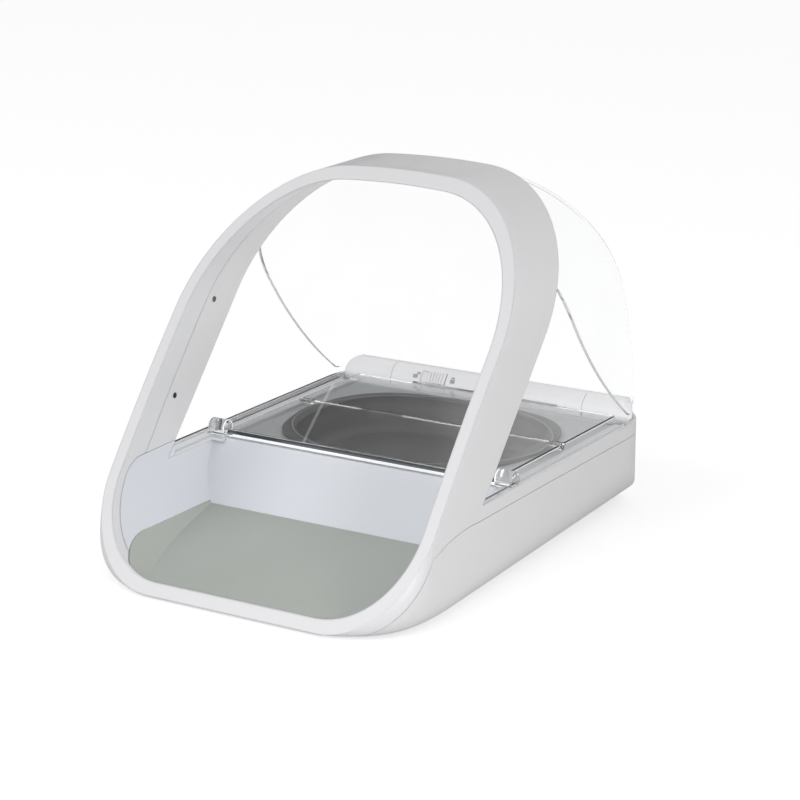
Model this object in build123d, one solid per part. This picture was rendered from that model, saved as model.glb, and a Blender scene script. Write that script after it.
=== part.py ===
from build123d import *
import os
from math import acos, atan2, cos, degrees, exp, hypot, pi, radians, sin, sqrt, tan

os.makedirs("parts", exist_ok=True)

# Feeder with a leaning hoop over a mat tray, and a bowl behind it under a folding lid.
# X to the right seen from the front, Y to the rear, Z up, millimetres.
# The origin is on the floor at the centre of the footprint.

# ---------------------------------------------------------------- overall sizes
BODY_WIDTH = 229.6
BODY_LENGTH = 323.0
HOOP_HEIGHT = 230.5
FOOT_STAND = 1.0
HALF_WIDTH = BODY_WIDTH / 2
REAR_Y = BODY_LENGTH / 2

# ---------------------------------------------------------------- outer section
CROWN_RADIUS = 620.0
SHOULDER_RADIUS = 83.6
HIP_RADIUS = 58.0
HIP_TIGHT = 11.5
HIP_GROWTH = 0.08
HIP_FADE = 16.0
HIP_FLARE = (-2, 6, 14, 22, 30, 38, 46, 54, 62)
HIP_TOP_Z = FOOT_STAND + HIP_RADIUS + 7.2
REAR_CORNER_RADIUS = 39.0
BAND = 7.6
WALL = 2.4

# ---------------------------------------------------------------- lean of the hoop
FACE_LEAN = 0.654
FACE_BOW = 0.0008
HOOP_REAR_FOOT = -120.6
HOOP_REAR_LEAN = 0.883
HOOP_REAR_BOW = -0.0001
RING_DEPTH = 8.0
RING_SKIN_DEPTH = 22.0

# ---------------------------------------------------------------- seams between mouldings
SEAM_GAP = 0.3
BODY_SEAM_Z = 52.4
BODY_SEAM_BEND_Y = -72.0
RIM_Z = 60.5
TRAY_TOP_Z = 64.5
TRAY_REAR_TOP_Z = 54.4

# ---------------------------------------------------------------- mat and tray
MAT_FRONT_Z = 8.2
MAT_REAR_Z = 22.0
MAT_REAR_Y = -49.5
MAT_FRONT_Y = -155.3
MAT_HALF_X = HALF_WIDTH - 22.1
MAT_THICK = 1.6
MAT_GAP = 0.3
TRAY_SKIN = 1.4
TRAY_WALL_TOP_Y = -22.2
TRAY_WALL_TOP_Z = 56.2
TRAY_WALL_SLOPE = 0.8
TRAY_FLANGE = 4.8
TRAY_FLANGE_MARGIN = 0.7

# ---------------------------------------------------------------- bowl and its cradle
BOWL_HALF_X = 88.0
BOWL_HALF_Y = 72.0
BOWL_SIDE_RADIUS = 110.0
BOWL_LONG_RADIUS = 190.0
BOWL_CORNER_RADIUS = 50.0
BOWL_Y = 55.0
BOWL_TOP_Z = 56.4
BOWL_FLOOR_Z = 34.9
BOWL_RIM_WIDTH = 7.0
BOWL_WALL = 1.8
BOWL_DRAW_IN = 7.0
BOWL_ROUNDING = 9.0
BOWL_GAP = 0.3
BOWL_SEAT_GAP = 0.1
CRADLE_TOP_Z = 54.5
CRADLE_PLATE = 2.2
CRADLE_FRONT_Y = -20.6
CRADLE_REAR_LAP = 0.4
WELL_WALL = 1.6

# ---------------------------------------------------------------- lid linkage
BARREL_RADIUS = 11.8
BARREL_SEAT_GAP = 0.3
HINGE_Y = REAR_Y - WALL - BARREL_SEAT_GAP - BARREL_RADIUS
PIVOT_Z = 59.2
FRONT_PIVOT_Y = -19.7
FOLD_Y = (HINGE_Y + FRONT_PIVOT_Y) / 2
LID_HALF_X = HALF_WIDTH - 17.3
LID_THICK = 2.2
LID_RISE = 0.2
FOLD_GAP = 0.35
KNUCKLE_RADIUS = 2.4
KNUCKLE_WIDTH = 4.0
KNUCKLE_SPLIT_X = LID_HALF_X - 4.35
FOLD_PIN_RADIUS = 1.2
LIP_RADIUS = LID_RISE + LID_THICK
ROD_RADIUS = 1.0
RUNNING_FIT = 0.05
FIXED_FIT = 0.02
MOVING_GAP = 0.3

# ---------------------------------------------------------------- hinge barrel and drive
BARREL_WALL = 2.4
BARREL_HALF_X = 72.7
BARREL_END = 6.5
BAR_SEAM = 0.3
TONGUE_HALF_X = 55.0
TONGUE_LENGTH = 3.4
TONGUE_TOP_GAP = 0.5
SHAFT_RADIUS = 3.0
SHAFT_END_X = 90.0
CAP_INSET = 2.7
CAP_CAVITY_RADIUS = 9.2
CAP_CAVITY_X = (75.0, 87.0)
GEAR_MODULE = 1.0
LID_GEAR_TEETH = 16
DRIVE_GEAR_TEETH = 20
GEAR_X = 81.5
GEAR_WIDTH = 6.0
GEAR_PLAY = 0.15
GEAR_ADDENDUM = 0.9
GEAR_DEDENDUM = 1.25
GEAR_LEAN_DEG = 6.0
PRESSURE_ANGLE = 20.0
DRIVE_SHAFT_RADIUS = 2.0
GEARBOX_X = (58.0, 77.0)
GEARBOX_HALF_Y = 9.0
GEARBOX_Z = (20.0, PIVOT_Z - BARREL_RADIUS - 0.8)
MOTOR_RADIUS = 8.0
MOTOR_LENGTH = 22.0

# ---------------------------------------------------------------- lid lock
LOCK_LEAN_DEG = 54.5
LOCK_RECESS_X = (-50.2, -30.4)
LOCK_WIDTH = 7.8
LOCK_LENGTH = 13.2
LOCK_TRAVEL = 5.2
LOCK_STEM_LENGTH = 1.8
LOCK_STEM_INSET = 5.7
LOCK_FOOT_LENGTH = 9.4
LOCK_FLOOR = BARREL_RADIUS - 1.6
LOCK_TOP = BARREL_RADIUS + 0.4
LOCK_FOOT_TOP = BARREL_RADIUS - BARREL_WALL - 1.0
LOCK_STEM_WIDTH = 3.0
LOCK_RIDGES = 6

# ---------------------------------------------------------------- rails
RAIL_OUTER_X = HALF_WIDTH - 2.5
RAIL_WALL = 1.9
RAIL_INNER_X = LID_HALF_X + 1.1
RAIL_TOP_Z = 61.5
RAIL_BASE = 1.5
RAIL_SEAT_GAP = 0.2
RAIL_REAR_Y = HINGE_Y - BARREL_RADIUS - 1.2
RAIL_WIDE_Y = -26.0
RAIL_NARROW_X = RAIL_OUTER_X - 5.3
SLIDER_RADIUS = 5.4
SLIDER_Z = 62.0
GROOVE_HALF = 1.3
RAIL_FRONT_Y = -65.0

# ---------------------------------------------------------------- clear rear cover
COVER_INSET = 2.5
COVER_SHEET = 2.0
COVER_ROUNDING = 30.0
COVER_GAP = 0.4
COVER_EDGE = ((28.0, 176.0), (71.3, 115.3), (127.0, 66.0))
COVER_BACK = ((72.0, 238.0), (134.0, 162.0), (157.5, 40.0))
COVER_NOTCH_Y = HINGE_Y - BARREL_RADIUS - 4.7
COVER_NOTCH_Z = PIVOT_Z + BARREL_RADIUS + 0.7

# ---------------------------------------------------------------- batteries and electronics
CELL_RADIUS = 13.1
CELL_LENGTH = 50.0
CELL_NUB = 1.5
CELL_SPACING = 2 * CELL_RADIUS + 0.6
BAY_INNER_X = 2.6
BAY_FRONT_Y = 27.0
BAY_WALL = 1.6
CONTACT_THICK = 0.4
SPRING_LENGTH = 4.0
SPRING_WIRE = 0.4
DOOR_THICK = 1.6
DOOR_RECESS = 0.2
DOOR_GAP = 0.4
DOOR_PIN_RADIUS = 0.5
DOOR_PIN_LENGTH = 1.5
SCREW_X = HALF_WIDTH - 21.8
SCREW_Y = (-8.0, 120.0)
SCREW_RADIUS = 1.5
SCREW_HEAD_RADIUS = 3.0
SCREW_HEAD_THICK = 2.0
SCREW_SEAT_Z = 31.0
SCREW_LENGTH = 12.0
BOSS_RADIUS = 4.6
BOSS_TOP_Z = 34.0
BOARD_X = 44.0
BOARD_Y = (92.0, 130.0)
BOARD_Z = 6.0
BOARD_THICK = 1.6
SMALL_SCREW_RADIUS = 1.0
BUTTON_X = (-26.0, 0.0, 26.0)
BUTTON_Z = 31.0
BUTTON_RADIUS = 4.8
BUTTON_TRAVEL = 1.2
BUTTON_PROUD = 0.0
BUTTON_BOARD_Y = 148.4
BUTTON_POST_X = 13.0
FOOT_PLACES = ((-42.0, -118.0), (42.0, -118.0), (-42.0, 140.0), (42.0, 140.0))
FOOT_RADIUS = 7.0
FOOT_RECESS = 1.0
SENSOR_BELOW_SHOULDER = (0.8, 52.9)
SENSOR_FROM_FACE = 30.9
SENSOR_RADIUS = 1.8
COIL_FROM_FACE = 16.0
COIL_WIDTH = 4.0
COIL_INSETS = (WALL + 0.3, WALL + 1.6)

FAR = 400.0
LOW = -30.0
HIGH = 300.0


# ================================================================ section and lean helpers
def face_y(z):
    """Y of the hoop's front face at a height."""
    rise = z - FOOT_STAND
    return -BODY_LENGTH / 2 + FACE_LEAN * rise + FACE_BOW * rise**2


def hoop_rear_y(z):
    """Y of the hoop's rear edge at a height."""
    return HOOP_REAR_FOOT + HOOP_REAR_LEAN * z + HOOP_REAR_BOW * z**2


def shoulder_centre():
    """X and Z of the right shoulder arc's centre."""
    x = HALF_WIDTH - SHOULDER_RADIUS
    return (x, HOOP_HEIGHT - CROWN_RADIUS + sqrt((CROWN_RADIUS - SHOULDER_RADIUS) ** 2 - x**2))


def sensor_spots():
    """Y and Z of the two sensors on each side of the hoop."""
    heights = [shoulder_centre()[1] - drop for drop in SENSOR_BELOW_SHOULDER]
    return [(face_y(z) + SENSOR_FROM_FACE, z) for z in heights]


def screw_places():
    return [(x, y) for y in SCREW_Y for x in (-SCREW_X, SCREW_X)]


def arc_between(centre, radius, start_deg, end_deg):
    """Arc about a centre from one angle to another."""
    def spot(angle):
        return (centre[0] + radius * cos(radians(angle)), centre[1] + radius * sin(radians(angle)))
    return ThreePointArc(spot(start_deg), spot((start_deg + end_deg) / 2), spot(end_deg))


def ring_section(inset):
    """Closed section of the hoop and body, inset all round."""
    crown_z = HOOP_HEIGHT - CROWN_RADIUS
    shoulder_x, shoulder_z = shoulder_centre()
    join = degrees(atan2(shoulder_z - crown_z, shoulder_x))
    hip_x = HALF_WIDTH - HIP_RADIUS
    hip_z = FOOT_STAND + HIP_RADIUS
    side_x = HALF_WIDTH - inset
    base_z = FOOT_STAND + inset
    shoulder = SHOULDER_RADIUS - inset
    hip = HIP_RADIUS - inset
    return make_face([
        arc_between((0, crown_z), CROWN_RADIUS - inset, join, 180 - join),
        arc_between((-shoulder_x, shoulder_z), shoulder, 180 - join, 180),
        Line((-side_x, shoulder_z), (-side_x, hip_z)),
        arc_between((-hip_x, hip_z), hip, 180, 270),
        Line((-hip_x, base_z), (hip_x, base_z)),
        arc_between((hip_x, hip_z), hip, 270, 360),
        Line((side_x, hip_z), (side_x, shoulder_z)),
        arc_between((shoulder_x, shoulder_z), shoulder, 0, join),
    ])


def along_y(section, reach=FAR / 2):
    return extrude(Plane.XZ * section, amount=reach, both=True)


def across_x(section, half_width=FAR / 2):
    return extrude(Plane.YZ * section, amount=half_width, both=True)


def body_prism(inset):
    return along_y(ring_section(inset))


def hip_radius(depth):
    """Radius of the lower side edge, which tightens behind the hoop's face and opens again to the rear."""
    return HIP_TIGHT + HIP_GROWTH * depth + (HIP_RADIUS - HIP_TIGHT) * exp(-depth / HIP_FADE)


def hip_section(inset, depth):
    """Section of the lower body, leaning with the hoop's face and set back from it."""
    radius = hip_radius(depth)
    centre_x = HALF_WIDTH - radius
    centre_z = FOOT_STAND + radius
    side_x = HALF_WIDTH - inset
    base_z = FOOT_STAND + inset
    upright = make_face([
        Line((-side_x, HIP_TOP_Z), (-side_x, centre_z)),
        arc_between((-centre_x, centre_z), radius - inset, 180, 270),
        Line((-centre_x, base_z), (centre_x, base_z)),
        arc_between((centre_x, centre_z), radius - inset, 270, 360),
        Line((side_x, centre_z), (side_x, HIP_TOP_Z)),
        Line((side_x, HIP_TOP_Z), (-side_x, HIP_TOP_Z)),
    ])
    slope = (face_y(HIP_TOP_Z) - face_y(0)) / HIP_TOP_Z
    lean = Matrix([[1, 0, 0, 0], [0, 1, slope, face_y(0) + depth], [0, 0, 1, 0]])
    return (Plane.XZ * upright).transform_geometry(lean)


def body_form(inset):
    """Hoop and body together, with the flared lower sides."""
    upper = body_prism(inset) & block((-FAR, FAR), (-FAR, FAR), (HIP_TOP_Z, HIGH))
    flare = loft([hip_section(inset, depth) for depth in HIP_FLARE])
    rear = loft([hip_section(inset, depth) for depth in (HIP_FLARE[-1], FAR)], ruled=True)
    return upper + flare + rear


def plan_prism(inset):
    """Footprint with rounded rear corners, running forward past the hoop."""
    side_x = HALF_WIDTH - inset
    rear = REAR_Y - inset
    corner = REAR_CORNER_RADIUS - inset
    cx = HALF_WIDTH - REAR_CORNER_RADIUS
    cy = REAR_Y - REAR_CORNER_RADIUS
    outline = make_face([
        Line((-side_x, -FAR / 2), (side_x, -FAR / 2)),
        Line((side_x, -FAR / 2), (side_x, cy)),
        arc_between((cx, cy), corner, 0, 90),
        Line((cx, rear), (-cx, rear)),
        arc_between((-cx, cy), corner, 90, 180),
        Line((-side_x, cy), (-side_x, -FAR / 2)),
    ])
    return Pos(0, 0, LOW) * extrude(outline, amount=HIGH - LOW)


def lean_edge(curve, shift):
    low = LOW
    high = HOOP_HEIGHT + 20
    middle = (low + high) / 2
    return ThreePointArc(
        (curve(low) + shift, low), (curve(middle) + shift, middle), (curve(high) + shift, high))


def closed_to(edge, reach):
    """Face between a leaning edge and an upright line far to one side of it."""
    low_corner = (reach, (edge @ 0).Y)
    high_corner = (reach, (edge @ 1).Y)
    return make_face([
        edge,
        Line(edge @ 1, high_corner),
        Line(high_corner, low_corner),
        Line(low_corner, edge @ 0),
    ])


def behind(curve, shift):
    """Everything to the rear of a leaning curve."""
    return across_x(closed_to(lean_edge(curve, shift), FAR))


def before(curve, shift):
    """Everything to the front of a leaning curve."""
    return across_x(closed_to(lean_edge(curve, shift), -FAR))


def block(x_range, y_range, z_range):
    """Box from its lowest and highest places along each axis."""
    size = [high - low for low, high in (x_range, y_range, z_range)]
    return Pos(x_range[0], y_range[0], z_range[0]) * Box(*size, align=(Align.MIN, Align.MIN, Align.MIN))


def rod_x(x_range, y, z, radius):
    """Cylinder along X."""
    length = x_range[1] - x_range[0]
    lying = Rot(0, 90, 0) * Cylinder(radius, length, align=(Align.CENTER, Align.CENTER, Align.MIN))
    return Pos(x_range[0], y, z) * lying


def rod_z(x, y, z_range, radius):
    """Cylinder along Z."""
    standing = Cylinder(radius, z_range[1] - z_range[0], align=(Align.CENTER, Align.CENTER, Align.MIN))
    return Pos(x, y, z_range[0]) * standing


def mirrored(shape):
    return mirror(shape, about=Plane.YZ)


# ================================================================ seam curves seen from the side
def side_slab(edge_points, outer_z):
    """Space between a side-view edge, running front to rear, and a level far above or below."""
    first, bend, knee, last = edge_points
    return across_x(make_face([
        Line((-FAR, first[1]), first),
        ThreePointArc(first, bend, knee),
        Line(knee, last),
        Line(last, (FAR, last[1])),
        Line((FAR, last[1]), (FAR, outer_z)),
        Line((FAR, outer_z), (-FAR, outer_z)),
        Line((-FAR, outer_z), (-FAR, first[1])),
    ]))


def seam_edge(shift):
    """Seam between the upper and lower housing, curving down to the front ring."""
    level = BODY_SEAM_Z + shift
    return ((-132.0, level - 12.5), (-104.0, level - 2.8), (BODY_SEAM_BEND_Y, level - 0.5), (0.0, level))


def tray_edge(shift):
    """Top edge of the tray's sides, inside the hoop."""
    level = TRAY_TOP_Z + shift
    return ((-130.0, level - 24.0), (-117.0, level - 9.7), (-103.0, level - 1.2), (-60.0, level))


# ================================================================ mat and tray
def mat_floor_z(y):
    run = (y - MAT_FRONT_Y) / (MAT_REAR_Y - MAT_FRONT_Y)
    return MAT_FRONT_Z + (MAT_REAR_Z - MAT_FRONT_Z) * run


def above_mat(shift):
    """Space above the sloping top of the mat."""
    return across_x(make_face(Polyline(
        (-FAR / 2, mat_floor_z(-FAR / 2) + shift), (0, mat_floor_z(0) + shift),
        (0, HIGH), (-FAR / 2, HIGH), close=True)))


def before_tray_wall(shift):
    """Space in front of the tray's sloping rear wall."""
    foot_y = TRAY_WALL_TOP_Y - TRAY_WALL_SLOPE * (TRAY_WALL_TOP_Z - LOW)
    return across_x(make_face(Polyline(
        (-FAR, LOW), (foot_y + shift, LOW), (TRAY_WALL_TOP_Y + shift, TRAY_WALL_TOP_Z),
        (TRAY_WALL_TOP_Y + shift, HIGH), (-FAR, HIGH), close=True)))


def mat_plan(inset):
    """Upright prism with the mat's outline: rounded front corners, open to the rear."""
    x = MAT_HALF_X - inset
    front = MAT_FRONT_Y + inset
    shoulder = (x - 12.5, front + 5.6)
    bend = (x - 3.1, front + 20.5)
    side_y = front + 43.0
    right = [
        Line((0, front), (x - 42.5, front)),
        ThreePointArc((x - 42.5, front), (x - 25.0, front + 1.5), shoulder),
        ThreePointArc(shoulder, bend, (x, side_y)),
        Line((x, side_y), (x, 0)),
        Line((x, 0), (0, 0)),
        Line((0, 0), (0, front)),
    ]
    half = Pos(0, 0, LOW) * extrude(make_face(right), amount=BODY_SEAM_Z - LOW)
    return half + mirrored(half)


def mat_recess():
    """Pocket that the mat lies in, over the tray and the ring's lower limb."""
    depth = MAT_THICK + MAT_GAP
    return body_prism(BAND - depth) & above_mat(-depth) & mat_plan(0) & before_tray_wall(0)


def tray_mat():
    outer = body_prism(BAND - MAT_THICK) & above_mat(-MAT_THICK)
    sheet = outer & mat_plan(MAT_GAP) & before_tray_wall(-MAT_GAP)
    return sheet - (body_prism(BAND) & above_mat(0))


def front_ring():
    """Solid front band, with a skin that runs back inside the hoop above the tray."""
    ring = body_form(0) & behind(face_y, 0) & before(face_y, RING_DEPTH)
    skin = (body_prism(BAND - WALL) - body_prism(BAND)) & behind(face_y, RING_DEPTH - 1)
    skin = skin & before(face_y, RING_SKIN_DEPTH)
    skin = skin & side_slab(tray_edge(SEAM_GAP), HIGH)
    return ring + skin - body_prism(BAND) - mat_recess()


def tray_liner():
    depth = MAT_THICK + MAT_GAP + TRAY_SKIN
    shell = body_prism(BAND - TRAY_SKIN) + (body_prism(BAND - depth) & mat_plan(-TRAY_SKIN))
    flange_x = LID_HALF_X + TRAY_FLANGE_MARGIN
    shell = shell & above_mat(-depth) & before_tray_wall(WALL) & behind(face_y, RING_DEPTH + SEAM_GAP)
    shell = shell - side_slab(tray_edge(0), HIGH)
    above_rear_top = block((-FAR / 2, FAR / 2), (-FAR / 2, FAR / 2), (TRAY_REAR_TOP_Z, HIGH))
    behind_hoop = behind(hoop_rear_y, 0) & above_rear_top
    shell = shell - (behind_hoop - block((-flange_x, flange_x), (-FAR / 2, FAR / 2), (LOW, HIGH)))
    shell = shell - block((-FAR / 2, FAR / 2), (-50, FAR / 2), (TRAY_WALL_TOP_Z, HIGH))
    cavity = body_prism(BAND) & above_mat(0) & before_tray_wall(0)
    flange = block((-flange_x, flange_x),
                   (TRAY_WALL_TOP_Y + WALL / 2, TRAY_WALL_TOP_Y + TRAY_FLANGE),
                   (CRADLE_TOP_Z + BOWL_SEAT_GAP, TRAY_WALL_TOP_Z))
    return shell - cavity - mat_recess() + flange


# ================================================================ housings
def body_solid(inset):
    return body_prism(inset) & plan_prism(inset)


def housing_form(inset):
    return body_form(inset) & plan_prism(inset)


def upper_housing():
    from_ring = behind(face_y, RING_DEPTH + SEAM_GAP)
    hoop_zone = from_ring & before(hoop_rear_y, 0)
    rear_web = before(hoop_rear_y, 0) - before(hoop_rear_y, -WALL)
    above_seam = side_slab(seam_edge(SEAM_GAP / 2), HIGH)
    above_tray = side_slab(tray_edge(SEAM_GAP), HIGH)
    outer_skin = (body_form(0) - body_form(WALL)) & hoop_zone
    inner_skin = (body_prism(BAND - WALL) - body_prism(BAND)) & hoop_zone & above_tray
    inner_skin = inner_skin & behind(face_y, RING_SKIN_DEPTH + SEAM_GAP)
    web_above = (body_form(0) - body_prism(BAND)) & rear_web & above_tray
    web_below = (body_form(0) - body_prism(BAND - TRAY_SKIN - SEAM_GAP)) & rear_web
    rim = (housing_form(0) - housing_form(WALL)) & behind(hoop_rear_y, -WALL)
    rim = rim - block((-FAR / 2, FAR / 2), (-FAR / 2, FAR / 2), (RIM_Z, HIGH))
    housing = (outer_skin + web_below + rim) & above_seam
    housing = housing + inner_skin + web_above
    for y, z in sensor_spots():
        bore = (-HALF_WIDTH + WALL + 0.5, HALF_WIDTH - WALL - 0.5)
        housing = housing - rod_x(bore, y, z, SENSOR_RADIUS + RUNNING_FIT)
    return housing


def bay_x_range(side):
    """Inner width of one battery bay, on the left (-1) or right (1)."""
    width = CELL_SPACING + 2 * CELL_RADIUS + 2 * DOOR_GAP
    near = BAY_INNER_X
    far = BAY_INNER_X + width
    return (near, far) if side > 0 else (-far, -near)


DOOR_TOP_Z = FOOT_STAND + DOOR_RECESS + DOOR_THICK
CELL_Z = DOOR_TOP_Z + MOVING_GAP + CELL_RADIUS
BAY_TOP_Z = CELL_Z + CELL_RADIUS + FIXED_FIT
CELL_FRONT_Y = BAY_FRONT_Y + CONTACT_THICK + SPRING_LENGTH
BAY_REAR_Y = CELL_FRONT_Y + CELL_LENGTH + CONTACT_THICK
DOOR_AXIS_Y = BAY_REAR_Y - DOOR_GAP - DOOR_THICK / 2
DOOR_AXIS_Z = DOOR_TOP_Z - DOOR_THICK / 2


def cell_x(side, number):
    near = BAY_INNER_X + DOOR_GAP + CELL_RADIUS + number * CELL_SPACING
    return side * near


def lower_housing():
    outside = body_form(0)
    shell = (housing_form(0) - housing_form(WALL)) & behind(face_y, RING_DEPTH + SEAM_GAP)
    shell = shell - side_slab(seam_edge(-SEAM_GAP / 2), HIGH)
    for side in (-1, 1):
        x0, x1 = bay_x_range(side)
        y0, y1 = BAY_FRONT_Y, BAY_REAR_Y
        walls = block(
            (x0 - BAY_WALL, x1 + BAY_WALL),
            (y0 - BAY_WALL, y1 + BAY_WALL),
            (FOOT_STAND, BAY_TOP_Z + BAY_WALL),
        )
        shell = shell + (walls & outside)
        shell = shell - block((x0, x1), (y0, y1), (LOW, BAY_TOP_Z))
        pin_reach = (x0 - DOOR_PIN_LENGTH, x1 + DOOR_PIN_LENGTH)
        shell = shell - rod_x(pin_reach, DOOR_AXIS_Y, DOOR_AXIS_Z, DOOR_PIN_RADIUS + RUNNING_FIT)
    for x, y in screw_places():
        boss = rod_z(x, y, (FOOT_STAND + WALL, BOSS_TOP_Z), BOSS_RADIUS) & outside
        shell = shell + boss
        shell = shell - rod_z(x, y, (LOW, SCREW_SEAT_Z), SCREW_HEAD_RADIUS + 0.2)
        shell = shell - rod_z(x, y, (LOW, BOSS_TOP_Z + 1), SCREW_RADIUS + 0.1)
    for x, y in board_screw_places():
        shell = shell + rod_z(x, y, (FOOT_STAND + WALL / 2, BOARD_Z), 2.6)
        shell = shell - rod_z(x, y, (BOARD_Z - 3.0, BOARD_Z + 1), SMALL_SCREW_RADIUS + FIXED_FIT)
    for x in (GEARBOX_X[0] + 2.0, GEARBOX_X[1] - 4.0):
        rib = block((x, x + 2.0), (drive_centre()[0] - GEARBOX_HALF_Y, drive_centre()[0] + GEARBOX_HALF_Y),
                    (FOOT_STAND + WALL / 2, GEARBOX_Z[0]))
        shell = shell + rib
    for x in BUTTON_X:
        shell = shell - lying_y(x, BUTTON_Z, (REAR_Y - 2 * WALL, REAR_Y + 5), BUTTON_RADIUS + MOVING_GAP)
    for x in (-BUTTON_POST_X, BUTTON_POST_X):
        board_face = BUTTON_BOARD_Y + BOARD_THICK
        shell = shell + lying_y(x, BUTTON_Z, (board_face, REAR_Y - WALL / 2), 2.6)
        shell = shell - lying_y(x, BUTTON_Z, (board_face - 1, board_face + 5), SMALL_SCREW_RADIUS + FIXED_FIT)
    for x, y in FOOT_PLACES:
        shell = shell - rod_z(x, y, (LOW, FOOT_STAND + FOOT_RECESS), FOOT_RADIUS + FIXED_FIT)
    return shell


def lying_y(x, z, y_range, radius):
    """Cylinder along Y."""
    length = y_range[1] - y_range[0]
    lying = Rot(-90, 0, 0) * Cylinder(radius, length, align=(Align.CENTER, Align.CENTER, Align.MIN))
    return Pos(x, y_range[0], z) * lying


def board_screw_places():
    inset = 4.0
    across = (-BOARD_X + inset, BOARD_X - inset)
    along = (BOARD_Y[0] + inset, BOARD_Y[1] - inset)
    return [(x, y) for x in across for y in along]


def rubber_feet():
    return [rod_z(x, y, (0, FOOT_STAND + FOOT_RECESS), FOOT_RADIUS) for x, y in FOOT_PLACES]


def self_tapping_screw():
    """Pan-head screw pointing up, its head's seat at zero."""
    shank = rod_z(0, 0, (0, SCREW_LENGTH), SCREW_RADIUS)
    head = rod_z(0, 0, (-SCREW_HEAD_THICK, 0), SCREW_HEAD_RADIUS)
    cross = block((-1.8, 1.8), (-0.4, 0.4), (-SCREW_HEAD_THICK, -SCREW_HEAD_THICK + 1.0))
    return shank + head - cross - Rot(0, 0, 90) * cross


def housing_screws():
    screw = self_tapping_screw()
    return [Pos(x, y, SCREW_SEAT_Z) * screw for x, y in screw_places()]


# ================================================================ bowl and cradle
def oval(inset):
    """Three-radius oval with the bowl's proportions, inset all round."""
    end_x = BOWL_HALF_X - BOWL_SIDE_RADIUS
    side_y = BOWL_HALF_Y - BOWL_LONG_RADIUS
    end_reach = BOWL_SIDE_RADIUS - BOWL_CORNER_RADIUS
    side_reach = BOWL_LONG_RADIUS - BOWL_CORNER_RADIUS
    span = hypot(end_x, side_y)
    along = (end_reach**2 - side_reach**2 + span**2) / (2 * span)
    across = sqrt(end_reach**2 - along**2)
    corner_x = end_x + (along * -end_x - across * side_y) / span
    corner_y = (along * side_y - across * end_x) / span
    low = degrees(atan2(corner_y, corner_x - end_x))
    high = degrees(atan2(corner_y - side_y, corner_x))
    corner = BOWL_CORNER_RADIUS - inset
    return Pos(0, BOWL_Y) * make_face([
        arc_between((end_x, 0), BOWL_SIDE_RADIUS - inset, -low, low),
        arc_between((corner_x, corner_y), corner, low, high),
        arc_between((0, side_y), BOWL_LONG_RADIUS - inset, high, 180 - high),
        arc_between((-corner_x, corner_y), corner, 180 - high, 180 - low),
        arc_between((-end_x, 0), BOWL_SIDE_RADIUS - inset, 180 - low, 180 + low),
        arc_between((-corner_x, -corner_y), corner, 180 + low, 180 + high),
        arc_between((0, -side_y), BOWL_LONG_RADIUS - inset, 180 + high, 360 - high),
        arc_between((corner_x, -corner_y), corner, 360 - high, 360 - low),
    ])


def oval_cup(inset, top_z, floor_z, rounding):
    """Solid cup narrowing downwards, its bottom edge rounded."""
    cup = loft([Pos(0, 0, floor_z) * oval(inset + BOWL_DRAW_IN), Pos(0, 0, top_z) * oval(inset)], ruled=True)
    return fillet(cup.faces().sort_by(Axis.Z)[0].edges(), rounding)


def bowl():
    rim_z = CRADLE_TOP_Z + BOWL_SEAT_GAP
    rim = Pos(0, 0, rim_z) * extrude(oval(0), amount=BOWL_TOP_Z - rim_z)
    outer = oval_cup(BOWL_RIM_WIDTH, rim_z, BOWL_FLOOR_Z - BOWL_WALL, BOWL_ROUNDING + BOWL_WALL)
    inner = oval_cup(BOWL_RIM_WIDTH + BOWL_WALL, BOWL_TOP_Z + 0.01, BOWL_FLOOR_Z, BOWL_ROUNDING)
    return rim + outer - inner


def bowl_cradle():
    plate = block(
        (-HALF_WIDTH, HALF_WIDTH),
        (CRADLE_FRONT_Y, HINGE_Y - BARREL_RADIUS + CRADLE_REAR_LAP),
        (CRADLE_TOP_Z - CRADLE_PLATE, CRADLE_TOP_Z),
    )
    plate = plate & body_solid(WALL + SEAM_GAP)
    outer_inset = BOWL_RIM_WIDTH - BOWL_GAP - WELL_WALL
    inner_inset = BOWL_RIM_WIDTH - BOWL_GAP
    inner_floor = BOWL_FLOOR_Z - BOWL_WALL - BOWL_GAP
    outer_rounding = BOWL_ROUNDING + BOWL_WALL + WELL_WALL
    outer = oval_cup(outer_inset, CRADLE_TOP_Z, inner_floor - WELL_WALL, outer_rounding)
    inner = oval_cup(inner_inset, CRADLE_TOP_Z + 0.01, inner_floor, BOWL_ROUNDING + BOWL_WALL)
    deck = plate + outer
    for x, y in screw_places():
        deck = deck + rod_z(x, y, (BOSS_TOP_Z, CRADLE_TOP_Z - CRADLE_PLATE / 2), BOSS_RADIUS - 0.6)
    deck = deck - inner
    for x, y in screw_places():
        deck = deck - rod_z(x, y, (BOSS_TOP_Z - 1, SCREW_SEAT_Z + SCREW_LENGTH + 1), SCREW_RADIUS + FIXED_FIT)
    return deck


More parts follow.
